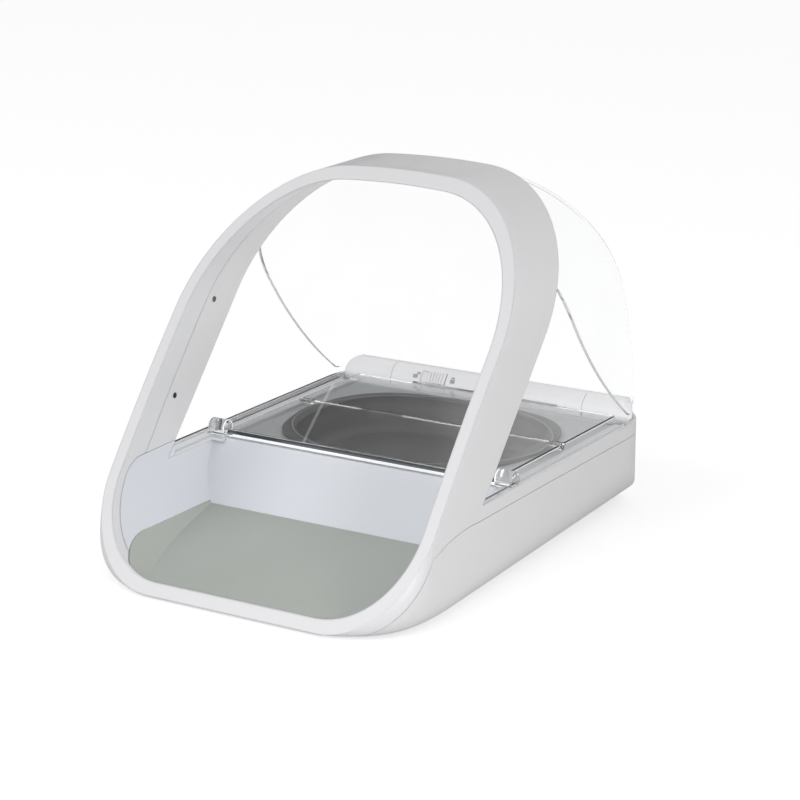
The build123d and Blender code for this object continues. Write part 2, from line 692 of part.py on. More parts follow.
# ================================================================ folding lid
def lid_rear_panel():
    """Rear leaf, with knuckles at the fold and a tongue into the barrel."""
    z0 = PIVOT_Z + LID_RISE
    z1 = z0 + LID_THICK
    rear_edge = HINGE_Y - BARREL_RADIUS - 0.7
    leaf = block((-LID_HALF_X, LID_HALF_X), (FOLD_Y + FOLD_GAP / 2, rear_edge), (z0, z1))
    leaf = leaf + block((-TONGUE_HALF_X, TONGUE_HALF_X), (rear_edge - 1, rear_edge + TONGUE_LENGTH), (z0, z1))
    for side in (-1, 1):
        own_end = side * (KNUCKLE_SPLIT_X - MOVING_GAP / 2)
        own = sorted((own_end - side * KNUCKLE_WIDTH, own_end))
        other = sorted((side * (KNUCKLE_SPLIT_X - MOVING_GAP / 2), side * (LID_HALF_X + 1)))
        leaf = leaf - rod_x(other, FOLD_Y, PIVOT_Z, KNUCKLE_RADIUS + FOLD_GAP)
        leaf = leaf + rod_x(own, FOLD_Y, PIVOT_Z, KNUCKLE_RADIUS)
        leaf = leaf - rod_x(own, FOLD_Y, PIVOT_Z, FOLD_PIN_RADIUS + FIXED_FIT)
    return leaf


def lid_front_panel():
    """Front leaf, with a bullnose lip bored for the slider rod."""
    z0 = PIVOT_Z + LID_RISE
    z1 = z0 + LID_THICK
    leaf = block((-LID_HALF_X, LID_HALF_X), (FRONT_PIVOT_Y, FOLD_Y - FOLD_GAP / 2), (z0, z1))
    leaf = leaf + rod_x((-LID_HALF_X, LID_HALF_X), FRONT_PIVOT_Y, PIVOT_Z, LIP_RADIUS)
    leaf = leaf - rod_x((-LID_HALF_X - 1, LID_HALF_X + 1), FRONT_PIVOT_Y, PIVOT_Z, ROD_RADIUS + RUNNING_FIT)
    for side in (-1, 1):
        own = sorted((side * (KNUCKLE_SPLIT_X + MOVING_GAP / 2), side * LID_HALF_X))
        other_near = side * (KNUCKLE_SPLIT_X - KNUCKLE_WIDTH - 1.5 * MOVING_GAP)
        other_far = side * (KNUCKLE_SPLIT_X + MOVING_GAP / 2)
        other = sorted((other_near, other_far))
        leaf = leaf - rod_x(other, FOLD_Y, PIVOT_Z, KNUCKLE_RADIUS + FOLD_GAP)
        leaf = leaf + rod_x(own, FOLD_Y, PIVOT_Z, KNUCKLE_RADIUS)
        leaf = leaf - rod_x((own[0] - 1, own[1] + 1), FOLD_Y, PIVOT_Z, FOLD_PIN_RADIUS + RUNNING_FIT)
    return leaf


def fold_pins():
    near = KNUCKLE_SPLIT_X - KNUCKLE_WIDTH - MOVING_GAP / 2
    pin = rod_x((near, LID_HALF_X - 0.3), FOLD_Y, PIVOT_Z, FOLD_PIN_RADIUS)
    return [mirrored(pin), pin]


def slider_rod():
    reach = RAIL_OUTER_X - RAIL_WALL + 0.8
    return rod_x((-reach, reach), FRONT_PIVOT_Y, PIVOT_Z, ROD_RADIUS)


def slider(side):
    """Clear roller-shaped shoe that carries one end of the rod along its rail."""
    ends = sorted((side * (LID_HALF_X + 1.0), side * (RAIL_OUTER_X - RAIL_WALL - 0.4)))
    shoe = rod_x(ends, FRONT_PIVOT_Y, SLIDER_Z, SLIDER_RADIUS)
    return shoe - rod_x((ends[0] - 1, ends[1] + 1), FRONT_PIVOT_Y, PIVOT_Z, ROD_RADIUS + FIXED_FIT)


def side_rail(side):
    """Clear channel beside the bowl that guides one slider."""
    base_z = CRADLE_TOP_Z + RAIL_SEAT_GAP
    wall_in = RAIL_OUTER_X - RAIL_WALL
    base = block((RAIL_INNER_X, RAIL_OUTER_X), (RAIL_WIDE_Y, RAIL_REAR_Y), (base_z, base_z + RAIL_BASE))
    base_top = base_z + RAIL_BASE
    base = base + block((RAIL_NARROW_X, RAIL_OUTER_X), (RAIL_FRONT_Y, RAIL_WIDE_Y), (base_z, base_top))
    wall = block((wall_in, RAIL_OUTER_X), (RAIL_FRONT_Y, RAIL_REAR_Y), (base_z, RAIL_TOP_Z))
    groove = block((wall_in - 1, wall_in + 1.1), (FRONT_PIVOT_Y - ROD_RADIUS - 1, RAIL_REAR_Y - 3),
                   (PIVOT_Z - GROOVE_HALF, PIVOT_Z + GROOVE_HALF))
    rail = (base + wall - groove) & body_solid(WALL + 0.2)
    return rail if side > 0 else mirrored(rail)


# ================================================================ hinge barrel, caps and drive
def drive_centre():
    """Y and Z of the drive gear's axis, leaning forward below the barrel."""
    reach = GEAR_MODULE * (LID_GEAR_TEETH + DRIVE_GEAR_TEETH) / 2 + 0.1
    lean = radians(GEAR_LEAN_DEG)
    return (HINGE_Y - reach * sin(lean), PIVOT_Z - reach * cos(lean))


def lock_frame():
    """Places a part on the barrel's upper front, its local Z pointing outwards."""
    return Pos(0, HINGE_Y, PIVOT_Z) * Rot(LOCK_LEAN_DEG, 0, 0)


def hinge_barrel():
    x = BARREL_HALF_X
    barrel = rod_x((-x, x), HINGE_Y, PIVOT_Z, BARREL_RADIUS)
    barrel = barrel - rod_x((-x + BARREL_END, x - BARREL_END), HINGE_Y, PIVOT_Z, BARREL_RADIUS - BARREL_WALL)
    z0 = PIVOT_Z + LID_RISE
    barrel = barrel - block((-TONGUE_HALF_X - 0.1, TONGUE_HALF_X + 0.1), (HINGE_Y - BARREL_RADIUS - 1, HINGE_Y - 6),
                            (z0 - 0.1, z0 + LID_THICK + TONGUE_TOP_GAP))
    side = LOCK_WIDTH / 2 + MOVING_GAP
    pocket = block(LOCK_RECESS_X, (-side, side), (LOCK_FLOOR, BARREL_RADIUS + 2))
    stem = LOCK_STEM_WIDTH / 2 + MOVING_GAP
    slot_right = LOCK_RECESS_X[1] - LOCK_STEM_INSET - 0.4
    slot_left = slot_right - LOCK_STEM_LENGTH - LOCK_TRAVEL - 2 * MOVING_GAP
    slot = block((slot_left, slot_right), (-stem, stem), (LOCK_FOOT_TOP - 3.4, LOCK_FLOOR + 1))
    barrel = barrel - lock_frame() * pocket - lock_frame() * slot
    for end in (-1, 1):
        shaft = sorted((end * (x - 1), end * SHAFT_END_X))
        barrel = barrel + rod_x(shaft, HINGE_Y, PIVOT_Z, SHAFT_RADIUS)
    return barrel


def lock_slider():
    """Ridged thumb slide, held by a foot inside the barrel."""
    right = LOCK_RECESS_X[1] - 0.7
    left = right - LOCK_LENGTH
    half = LOCK_WIDTH / 2
    thumb = block((left, right), (-half, half), (LOCK_FLOOR + MOVING_GAP, LOCK_TOP))
    pitch = LOCK_LENGTH / LOCK_RIDGES
    for number in range(1, LOCK_RIDGES):
        x = left + number * pitch
        thumb = thumb - block((x - 0.5, x + 0.5), (-half + 0.8, half - 0.8), (LOCK_TOP - 0.6, LOCK_TOP + 1))
    stem_half = LOCK_STEM_WIDTH / 2
    stem_right = right - LOCK_STEM_INSET
    stem_middle = stem_right - LOCK_STEM_LENGTH / 2
    stem_reach = (stem_right - LOCK_STEM_LENGTH, stem_right)
    stem = block(stem_reach, (-stem_half, stem_half), (LOCK_FOOT_TOP - 0.4, LOCK_FLOOR + 1))
    foot_half = LOCK_FOOT_LENGTH / 2
    foot_reach = (stem_middle - foot_half, stem_middle + foot_half)
    foot = block(foot_reach, (-2.6, 2.6), (LOCK_FOOT_TOP - 1.0, LOCK_FOOT_TOP))
    return lock_frame() * (thumb + stem + foot)


def hinge_cap(side):
    """Fixed end of the hinge bar, hollow round the shaft and gear."""
    start = BARREL_HALF_X + BAR_SEAM
    cap = rod_x((start, HALF_WIDTH), HINGE_Y, PIVOT_Z, BARREL_RADIUS) & body_solid(CAP_INSET)
    cap = cap - rod_x(CAP_CAVITY_X, HINGE_Y, PIVOT_Z, CAP_CAVITY_RADIUS)
    cap = cap - rod_x((start - 1, SHAFT_END_X + 0.5), HINGE_Y, PIVOT_Z, SHAFT_RADIUS + RUNNING_FIT)
    if side > 0:
        centre = drive_centre()
        reach = DRIVE_GEAR_TEETH * GEAR_MODULE / 2 + GEAR_ADDENDUM + 0.5
        ends = (GEAR_X - GEAR_WIDTH / 2 - 0.5, GEAR_X + GEAR_WIDTH / 2 + 0.5)
        cap = cap - rod_x(ends, centre[0], centre[1], reach)
        return cap
    return mirrored(cap)


def gear_section(teeth, turn_deg):
    """Involute spur gear outline, with a tooth centred on the given angle."""
    pitch = GEAR_MODULE * teeth / 2
    base = pitch * cos(radians(PRESSURE_ANGLE))
    tip = pitch + GEAR_ADDENDUM
    root = pitch - GEAR_DEDENDUM
    half_tooth = (pi * GEAR_MODULE / 2 - GEAR_PLAY) / (2 * pitch)
    start = max(base, root)

    def involute(radius):
        angle = acos(min(1.0, base / radius))
        return tan(angle) - angle

    def spot(radius, angle):
        return (radius * cos(angle), radius * sin(angle))

    edges = []
    for number in range(teeth):
        centre = radians(turn_deg) + 2 * pi * number / teeth
        after = centre + 2 * pi / teeth
        radii = [start + (tip - start) * step / 3 for step in range(4)]
        lean = [half_tooth + involute(pitch) - involute(radius) for radius in radii]
        rising = [spot(radius, centre - angle) for radius, angle in zip(radii, lean)]
        falling = [spot(radius, centre + angle) for radius, angle in zip(reversed(radii), reversed(lean))]
        edges.append(Line(spot(root, centre - lean[0]), rising[0]))
        edges.append(Spline(*rising))
        edges.append(ThreePointArc(rising[-1], spot(tip, centre), falling[0]))
        edges.append(Spline(*falling))
        edges.append(Line(falling[-1], spot(root, centre + lean[0])))
        gap_middle = (centre + after) / 2
        gap_start = spot(root, centre + lean[0])
        gap_end = spot(root, after - lean[0])
        edges.append(ThreePointArc(gap_start, spot(root, gap_middle), gap_end))
    return make_face(edges)


def gear(teeth, turn_deg, centre, bore):
    wheel = extrude(Plane.YZ * gear_section(teeth, turn_deg), amount=GEAR_WIDTH / 2, both=True)
    wheel = wheel - rod_x((-GEAR_WIDTH, GEAR_WIDTH), 0, 0, bore)
    return Pos(GEAR_X, centre[0], centre[1]) * wheel


def lid_gear():
    toward = 270 - GEAR_LEAN_DEG
    return gear(LID_GEAR_TEETH, toward, (HINGE_Y, PIVOT_Z), SHAFT_RADIUS + FIXED_FIT)


def drive_gear():
    toward = 90 - GEAR_LEAN_DEG + 180 / DRIVE_GEAR_TEETH
    return gear(DRIVE_GEAR_TEETH, toward, drive_centre(), DRIVE_SHAFT_RADIUS + FIXED_FIT)


def drive_shaft():
    y, z = drive_centre()
    return rod_x((GEARBOX_X[1] - 9.0, GEAR_X + GEAR_WIDTH / 2 + 1.0), y, z, DRIVE_SHAFT_RADIUS)


def gearbox():
    y, z = drive_centre()
    case = block(GEARBOX_X, (y - GEARBOX_HALF_Y, y + GEARBOX_HALF_Y), GEARBOX_Z)
    return case - rod_x((GEARBOX_X[1] - 9.3, GEARBOX_X[1] + 1), y, z, DRIVE_SHAFT_RADIUS + RUNNING_FIT)


def motor():
    y = drive_centre()[0]
    z = GEARBOX_Z[0] + MOTOR_RADIUS + 1.5
    can = rod_x((GEARBOX_X[0] - MOTOR_LENGTH, GEARBOX_X[0]), y, z, MOTOR_RADIUS)
    boss = rod_x((GEARBOX_X[0] - MOTOR_LENGTH - 1.5, GEARBOX_X[0] - MOTOR_LENGTH), y, z, 2.5)
    return can + boss


# ================================================================ clear rear cover
def cover_back_face(inset):
    """Everything in front of the cover's bowed back."""
    low, middle, high = sorted(COVER_BACK, key=lambda point: point[1])
    edge = ThreePointArc((low[0] - inset, low[1]), (middle[0] - inset, middle[1]), (high[0] - inset, high[1]))
    return across_x(make_face([
        edge,
        Line(edge @ 1, (-FAR / 2, high[1])),
        Line((-FAR / 2, high[1]), (-FAR / 2, low[1])),
        Line((-FAR / 2, low[1]), edge @ 0),
    ]))


def cover_form(inset):
    """Hollow form of the cover: body section against the bowed back, with a rounded meeting edge."""
    form = body_prism(COVER_INSET + inset) & cover_back_face(inset)
    form = form & block((-FAR / 2, FAR / 2), (0, FAR / 2), (RIM_Z, HIGH))
    back = form.faces().sort_by(Axis.Y)[-1]
    rim = back.edges().filter_by(lambda edge: edge.center().Z > RIM_Z + 0.1)
    return fillet(rim, COVER_ROUNDING + COVER_SHEET - inset)


def rear_cover():
    shell = cover_form(0) - cover_form(COVER_SHEET)
    shell = shell & behind(hoop_rear_y, COVER_GAP)
    front, middle, rear = COVER_EDGE
    below = across_x(make_face([
        ThreePointArc(front, middle, rear),
        Line(rear, (REAR_Y, RIM_Z + 2.1)),
        Line((REAR_Y, RIM_Z + 2.1), (REAR_Y, LOW)),
        Line((REAR_Y, LOW), (-FAR / 2, LOW)),
        Line((-FAR / 2, LOW), (-FAR / 2, front[1])),
        Line((-FAR / 2, front[1]), front),
    ]))
    shell = shell - below
    shell = shell - block((-FAR / 2, FAR / 2), (COVER_NOTCH_Y, HINGE_Y), (LOW, COVER_NOTCH_Z))
    return shell - rod_x((-FAR / 2, FAR / 2), HINGE_Y, PIVOT_Z, BARREL_RADIUS + COVER_GAP)


# ================================================================ batteries
def battery(side, number):
    x = cell_x(side, number)
    can = lying_y(x, CELL_Z, (CELL_FRONT_Y, CELL_FRONT_Y + CELL_LENGTH - CELL_NUB), CELL_RADIUS)
    return can + lying_y(x, CELL_Z, (CELL_FRONT_Y, CELL_FRONT_Y + CELL_LENGTH), 3.3)


def battery_contacts():
    plates = []
    for side in (-1, 1):
        for number in (0, 1):
            x = cell_x(side, number)
            for y in (BAY_FRONT_Y, BAY_REAR_Y - CONTACT_THICK):
                plates.append(block((x - 6, x + 6), (y, y + CONTACT_THICK), (CELL_Z - 6, CELL_Z + 6)))
    return plates


def battery_springs():
    springs = []
    path = Helix(pitch=1.15, height=SPRING_LENGTH - 2 * SPRING_WIRE, radius=4.0)
    section = Plane(path @ 0, z_dir=path % 0) * Circle(SPRING_WIRE)
    coil = sweep(section, path=path, is_frenet=True)
    for side in (-1, 1):
        for number in (0, 1):
            x = cell_x(side, number)
            y = BAY_FRONT_Y + CONTACT_THICK + SPRING_WIRE
            springs.append(Pos(x, y, CELL_Z) * Rot(-90, 0, 0) * coil)
    return springs


def battery_door(side):
    x0, x1 = bay_x_range(side)
    x0 = x0 + DOOR_GAP
    x1 = x1 - DOOR_GAP
    z0 = DOOR_TOP_Z - DOOR_THICK
    slab = block((x0, x1), (BAY_FRONT_Y + DOOR_GAP, DOOR_AXIS_Y), (z0 - 1, DOOR_TOP_Z))
    slab = slab + rod_x((x0, x1), DOOR_AXIS_Y, DOOR_AXIS_Z, DOOR_THICK / 2)
    slab = slab & body_form(DOOR_RECESS)
    pull = rod_z((x0 + x1) / 2, BAY_FRONT_Y + 7, (z0 - 5, z0 + 0.8), 6.0)
    pull = pull & block((x0, x1), (BAY_FRONT_Y + 7, BAY_FRONT_Y + 20), (LOW, HIGH))
    pins = rod_x((x0 - DOOR_PIN_LENGTH, x1 + DOOR_PIN_LENGTH), DOOR_AXIS_Y, DOOR_AXIS_Z, DOOR_PIN_RADIUS)
    return slab - pull + pins


# ================================================================ electronics and buttons
def main_board():
    board = block((-BOARD_X, BOARD_X), BOARD_Y, (BOARD_Z, BOARD_Z + BOARD_THICK))
    for x, y in board_screw_places():
        board = board - rod_z(x, y, (BOARD_Z - 1, BOARD_Z + BOARD_THICK + 1), SMALL_SCREW_RADIUS + 0.2)
    top = BOARD_Z + BOARD_THICK
    parts = (
        ((-12, 0), (104, 116), 1.2),
        ((8, 20), (100, 108), 1.6),
        ((-34, -26), (108, 118), 4.0),
        ((26, 34), (100, 114), 5.0),
    )
    for x_range, y_range, height in parts:
        board = board + block(x_range, y_range, (top, top + height))
    return board


def small_screw():
    return rod_z(0, 0, (-2.8, 0), SMALL_SCREW_RADIUS) + rod_z(0, 0, (0, 1.0), 1.9)


def board_screws():
    screw = small_screw()
    flat = [Pos(x, y, BOARD_Z + BOARD_THICK) * screw for x, y in board_screw_places()]
    posts = (-BUTTON_POST_X, BUTTON_POST_X)
    upright = [Pos(x, BUTTON_BOARD_Y, BUTTON_Z) * Rot(90, 0, 0) * screw for x in posts]
    return flat + upright


def button_board():
    face = BUTTON_BOARD_Y + BOARD_THICK
    board = block((-33, 33), (BUTTON_BOARD_Y, face), (BUTTON_Z - 8, BUTTON_Z + 8))
    for x in (-BUTTON_POST_X, BUTTON_POST_X):
        board = board - lying_y(x, BUTTON_Z, (BUTTON_BOARD_Y - 1, face + 1), SMALL_SCREW_RADIUS + 0.2)
    for x in BUTTON_X:
        board = board + block((x - 3, x + 3), (face, face + 2.4), (BUTTON_Z - 3, BUTTON_Z + 3))
    return board


def push_button(x):
    inner_wall = REAR_Y - WALL
    switch_top = BUTTON_BOARD_Y + BOARD_THICK + 2.4
    cap = lying_y(x, BUTTON_Z, (inner_wall - MOVING_GAP - 1.4, REAR_Y + BUTTON_PROUD), BUTTON_RADIUS)
    cap = chamfer(cap.faces().sort_by(Axis.Y)[-1].edges(), 0.5)
    flange_rear = inner_wall - MOVING_GAP
    flange = lying_y(x, BUTTON_Z, (flange_rear - 1.4, flange_rear), BUTTON_RADIUS + 1.4)
    stem = lying_y(x, BUTTON_Z, (switch_top + BUTTON_TRAVEL + MOVING_GAP, inner_wall - MOVING_GAP), 2.0)
    return cap + flange + stem


def antenna_coil():
    outer, inner = COIL_INSETS
    loop = body_prism(outer) - body_prism(inner)
    return loop & behind(face_y, COIL_FROM_FACE) & before(face_y, COIL_FROM_FACE + COIL_WIDTH)


def sensor_x():
    """X of the hoop's inner face where the sensors look through."""
    return HALF_WIDTH - BAND


def sensor_windows(side):
    """Two dark lenses set in the hoop's inner skin."""
    inner = sensor_x()
    lenses = []
    for y, z in sensor_spots():
        lens = rod_x((inner - 0.2, inner + WALL), y, z, SENSOR_RADIUS)
        lens = lens + rod_x((inner + WALL, inner + WALL + 0.8), y, z, SENSOR_RADIUS + 1.2)
        lenses.append(lens if side > 0 else mirrored(lens))
    return lenses


def sensor_board(side):
    """Narrow circuit strip behind the two sensor windows."""
    inner = sensor_x() + WALL + 0.8
    (y0, z0), (y1, z1) = sensor_spots()
    length = hypot(y0 - y1, z0 - z1) + 12
    strip = Box(1.2, length, 8)
    turned = Rot(degrees(atan2(z0 - z1, y0 - y1)), 0, 0) * strip
    placed = Pos(inner + 0.6, (y0 + y1) / 2, (z0 + z1) / 2) * turned
    return placed if side > 0 else mirrored(placed)


# ================================================================ export
def save(name, shapes):
    parts = shapes if isinstance(shapes, list) else [shapes]
    solids = [solid for part in parts for solid in part.solids()]
    export_step(Compound(label=name, children=solids), f"parts/{name}.step")


def build():
    save("front_ring", front_ring())
    save("upper_housing", upper_housing())
    save("lower_housing", lower_housing())
    save("tray_liner", tray_liner())
    save("tray_mat", tray_mat())
    save("bowl", bowl())
    save("bowl_cradle", bowl_cradle())
    save("lid_rear_panel", lid_rear_panel())
    save("lid_front_panel", lid_front_panel())
    save("fold_pins", fold_pins())
    save("slider_rod", slider_rod())
    save("hinge_barrel", hinge_barrel())
    save("lock_slider", lock_slider())
    save("lid_gear", lid_gear())
    save("drive_gear", drive_gear())
    save("drive_shaft", drive_shaft())
    save("gearbox", gearbox())
    save("drive_motor", motor())
    save("rear_cover", rear_cover())
    for side, word in ((-1, "left"), (1, "right")):
        save(f"slider_{word}", slider(side))
        save(f"side_rail_{word}", side_rail(side))
        save(f"hinge_cap_{word}", hinge_cap(side))
        save(f"battery_door_{word}", battery_door(side))
        save(f"sensor_windows_{word}", sensor_windows(side))
        save(f"sensor_board_{word}", sensor_board(side))
        for number, place in ((0, "inner"), (1, "outer")):
            save(f"battery_{word}_{place}", battery(side, number))
    save("battery_contacts", battery_contacts())
    save("battery_springs", battery_springs())
    save("main_board", main_board())
    save("button_board", button_board())
    for x, word in zip(BUTTON_X, ("left", "middle", "right")):
        save(f"button_{word}", push_button(x))
    save("board_screws", board_screws())
    save("antenna_coil", antenna_coil())
    save("rubber_feet", rubber_feet())
    save("housing_screws", housing_screws())


build()
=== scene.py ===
from math import atan2, cos, degrees, hypot, pi, radians, sin

import bmesh
import bpy
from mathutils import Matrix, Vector


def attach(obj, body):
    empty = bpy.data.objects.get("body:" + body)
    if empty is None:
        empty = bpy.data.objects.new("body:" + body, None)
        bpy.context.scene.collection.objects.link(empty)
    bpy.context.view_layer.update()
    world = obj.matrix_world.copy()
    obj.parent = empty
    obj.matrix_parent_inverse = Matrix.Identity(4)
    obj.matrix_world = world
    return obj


MM = 0.001
WELD = 0.001 * MM

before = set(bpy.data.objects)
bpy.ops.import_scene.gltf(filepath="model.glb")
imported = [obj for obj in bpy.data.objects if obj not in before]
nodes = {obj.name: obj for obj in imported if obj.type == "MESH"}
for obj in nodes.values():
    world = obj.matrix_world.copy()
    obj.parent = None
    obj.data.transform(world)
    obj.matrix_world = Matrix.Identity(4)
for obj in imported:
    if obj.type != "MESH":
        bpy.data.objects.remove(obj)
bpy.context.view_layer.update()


# ---------------------------------------------------------------- camera, floor and light
CAMERA_TURN = 31.431
CAMERA_RISE = 16.131
CAMERA_REACH = 1.5998
CAMERA_AIM = Vector((0.01163, 0.00956, 0.08989))
CAMERA_LENS = 116.1
CAMERA_SENSOR = 36.0
FLOOR_HALF = 3.0
FLOOR_DROP = 0.2 * MM
FLOOR_TONE = 0.64
FLOOR_GLOW = 0.60
FLOOR_MIRRORED = 0.35
LAMP_AIM = Vector((0.0, 0.0, 0.09))
AIR_FILL = 0.55


def place_camera():
    """Camera in front of the object, turned to its right side and a little above."""
    turn = radians(CAMERA_TURN)
    rise = radians(CAMERA_RISE)
    away = Vector((sin(turn) * cos(rise), -cos(turn) * cos(rise), sin(rise)))
    bpy.ops.object.camera_add()
    camera = bpy.context.object
    camera.name = "product_camera"
    camera.location = CAMERA_AIM + away * CAMERA_REACH
    camera.rotation_euler = (-away).to_track_quat("-Z", "Y").to_euler()
    camera.data.lens = CAMERA_LENS
    camera.data.sensor_width = CAMERA_SENSOR
    bpy.context.scene.camera = camera


def softbox(name, place, size, power):
    """Square area lamp facing the middle of the object."""
    bpy.ops.object.light_add(type="AREA", location=place)
    lamp = bpy.context.object
    lamp.name = name
    lamp.data.shape = "SQUARE"
    lamp.data.size = size
    lamp.data.energy = power
    aim = LAMP_AIM - Vector(place)
    lamp.rotation_euler = aim.to_track_quat("-Z", "Y").to_euler()


def seen_directly(tree, mirrored=1.0):
    """How far the surface is seen as it is.

    One for the camera or a view through clear plastic, and a share for a reflection.
    """
    path = tree.nodes.new("ShaderNodeLightPath")
    share = tree.nodes.new("ShaderNodeMath")
    share.operation = "MULTIPLY"
    share.inputs[1].default_value = mirrored
    first = tree.nodes.new("ShaderNodeMath")
    first.operation = "MAXIMUM"
    second = tree.nodes.new("ShaderNodeMath")
    second.operation = "MAXIMUM"
    tree.links.new(path.outputs["Is Glossy Ray"], share.inputs[0])
    tree.links.new(path.outputs["Is Camera Ray"], first.inputs[0])
    tree.links.new(share.outputs[0], first.inputs[1])
    tree.links.new(first.outputs[0], second.inputs[0])
    tree.links.new(path.outputs["Is Transmission Ray"], second.inputs[1])
    return second.outputs[0]


def light_world(fill):
    """Even air light: a soft fill on the object, plain white where it is seen directly."""
    world = bpy.data.worlds.new("studio_air")
    bpy.context.scene.world = world
    world.use_nodes = True
    tree = world.node_tree
    background = tree.nodes["Background"]
    mix = tree.nodes.new("ShaderNodeMix")
    mix.data_type = "RGBA"
    mix.inputs[6].default_value = (fill, fill, fill, 1.0)
    mix.inputs[7].default_value = WHITE
    tree.links.new(seen_directly(tree), mix.inputs[0])
    tree.links.new(mix.outputs[2], background.inputs["Color"])
    background.inputs["Strength"].default_value = 1.0


def lay_floor():
    """White paper floor that keeps the object's shadow."""
    bpy.ops.mesh.primitive_plane_add(size=2 * FLOOR_HALF, location=(0, 0, -FLOOR_DROP))
    floor = bpy.context.object
    floor.name = "studio_floor"
    material = bpy.data.materials.new("floor_paper")
    material.use_nodes = True
    tree = material.node_tree
    tree.nodes.clear()
    out = tree.nodes.new("ShaderNodeOutputMaterial")
    matt = tree.nodes.new("ShaderNodeBsdfDiffuse")
    matt.inputs["Color"].default_value = (FLOOR_TONE, FLOOR_TONE, FLOOR_TONE, 1.0)
    glow = tree.nodes.new("ShaderNodeEmission")
    glow.inputs["Color"].default_value = WHITE
    level = tree.nodes.new("ShaderNodeMath")
    level.operation = "MULTIPLY"
    level.inputs[1].default_value = FLOOR_GLOW
    both = tree.nodes.new("ShaderNodeAddShader")
    tree.links.new(seen_directly(tree, FLOOR_MIRRORED), level.inputs[0])
    tree.links.new(level.outputs[0], glow.inputs["Strength"])
    tree.links.new(matt.outputs[0], both.inputs[0])
    tree.links.new(glow.outputs[0], both.inputs[1])
    tree.links.new(both.outputs[0], out.inputs["Surface"])
    floor.data.materials.append(material)


CARD_PLACE = Vector((-0.53, 0.86, 0.36))
CARD_AIM = Vector((0.02, 0.04, 0.06))
CARD_HALF = (0.42, 0.22)
CARD_DARK = 0.13
CARD_PALE = 0.60
CARD_FADE = (0.12, 0.36)


def hang_card():
    """Grey card behind the object, met only by reflections.

    The flat lid then mirrors grey and not the white air.
    """
    bpy.ops.mesh.primitive_plane_add(size=2.0)
    card = bpy.context.object
    card.name = "studio_card"
    card.scale = (CARD_HALF[0], CARD_HALF[1], 1.0)
    card.location = CARD_PLACE
    aim = CARD_AIM - CARD_PLACE
    card.rotation_euler = aim.to_track_quat("Z", "Y").to_euler()
    material = bpy.data.materials.new("card_grey")
    material.use_nodes = True
    tree = material.node_tree
    tree.nodes.clear()
    out = tree.nodes.new("ShaderNodeOutputMaterial")
    place = tree.nodes.new("ShaderNodeTexCoord")
    split = tree.nodes.new("ShaderNodeSeparateXYZ")
    tree.links.new(place.outputs["Object"], split.inputs[0])
    tone = tree.nodes.new("ShaderNodeMapRange")
    tone.inputs["From Min"].default_value = CARD_FADE[0]
    tone.inputs["From Max"].default_value = CARD_FADE[1]
    tone.inputs["To Min"].default_value = CARD_DARK
    tone.inputs["To Max"].default_value = CARD_PALE
    tree.links.new(split.outputs["X"], tone.inputs["Value"])
    path = tree.nodes.new("ShaderNodeLightPath")
    mirrored = tree.nodes.new("ShaderNodeMath")
    mirrored.operation = "GREATER_THAN"
    mirrored.inputs[1].default_value = 0.5
    tree.links.new(path.outputs["Glossy Depth"], mirrored.inputs[0])
    level = tree.nodes.new("ShaderNodeMix")
    level.inputs[2].default_value = 1.0
    tree.links.new(mirrored.outputs[0], level.inputs[0])
    tree.links.new(tone.outputs["Result"], level.inputs[3])
    glow = tree.nodes.new("ShaderNodeEmission")
    tree.links.new(level.outputs[0], glow.inputs["Strength"])
    tree.links.new(glow.outputs[0], out.inputs["Surface"])
    card.data.materials.append(material)
    card.visible_camera = False
    card.visible_diffuse = False
    card.visible_shadow = False


# ---------------------------------------------------------------- finishes
PLASTIC_BEND = 1.5
CLEAR_BEND = 1.47
MOTTLE_SCALE = 9.0
GLOSS_SCALE = 40.0
CLEAR_SHADE = 0.985
COAT_ROUGH = 0.08
WHITE = (1.0, 1.0, 1.0, 1.0)


def new_finish(name):
    material = bpy.data.materials.new(name)
    material.use_nodes = True
    tree = material.node_tree
    return material, tree, tree.nodes["Principled BSDF"]


def noise(tree, scale, detail=3.0, rough=0.5):
    place = tree.nodes.new("ShaderNodeTexCoord")
    field = tree.nodes.new("ShaderNodeTexNoise")
    field.inputs["Scale"].default_value = scale
    field.inputs["Detail"].default_value = detail
    field.inputs["Roughness"].default_value = rough
    tree.links.new(place.outputs["Object"], field.inputs["Vector"])
    return field.outputs["Fac"]


def ramp(tree, source, low, high, start=0.35, end=0.65):
    """Colour ramp between two tones, driven by a field."""
    band = tree.nodes.new("ShaderNodeValToRGB")
    band.color_ramp.elements[0].position = start
    band.color_ramp.elements[1].position = end
    band.color_ramp.elements[0].color = (*low, 1.0)
    band.color_ramp.elements[1].color = (*high, 1.0)
    tree.links.new(source, band.inputs["Fac"])
    return band.outputs["Color"]


def span(tree, source, low, high):
    """Number between two values, driven by a field."""
    field = tree.nodes.new("ShaderNodeMapRange")
    field.inputs["From Min"].default_value = 0.3
    field.inputs["From Max"].default_value = 0.7
    field.inputs["To Min"].default_value = low
    field.inputs["To Max"].default_value = high
    tree.links.new(source, field.inputs["Value"])
    return field.outputs["Result"]


def add_grain(tree, shader, scale, depth, edge=0.0004):
    """Fine moulded grain over softened edges."""
    grain = tree.nodes.new("ShaderNodeBump")
    grain.inputs["Strength"].default_value = 1.0
    grain.inputs["Distance"].default_value = depth
    tree.links.new(noise(tree, scale), grain.inputs["Height"])
    if edge > 0:
        soft = tree.nodes.new("ShaderNodeBevel")
        soft.samples = 4
        soft.inputs["Radius"].default_value = edge
        tree.links.new(soft.outputs["Normal"], grain.inputs["Normal"])
    tree.links.new(grain.outputs["Normal"], shader.inputs["Normal"])


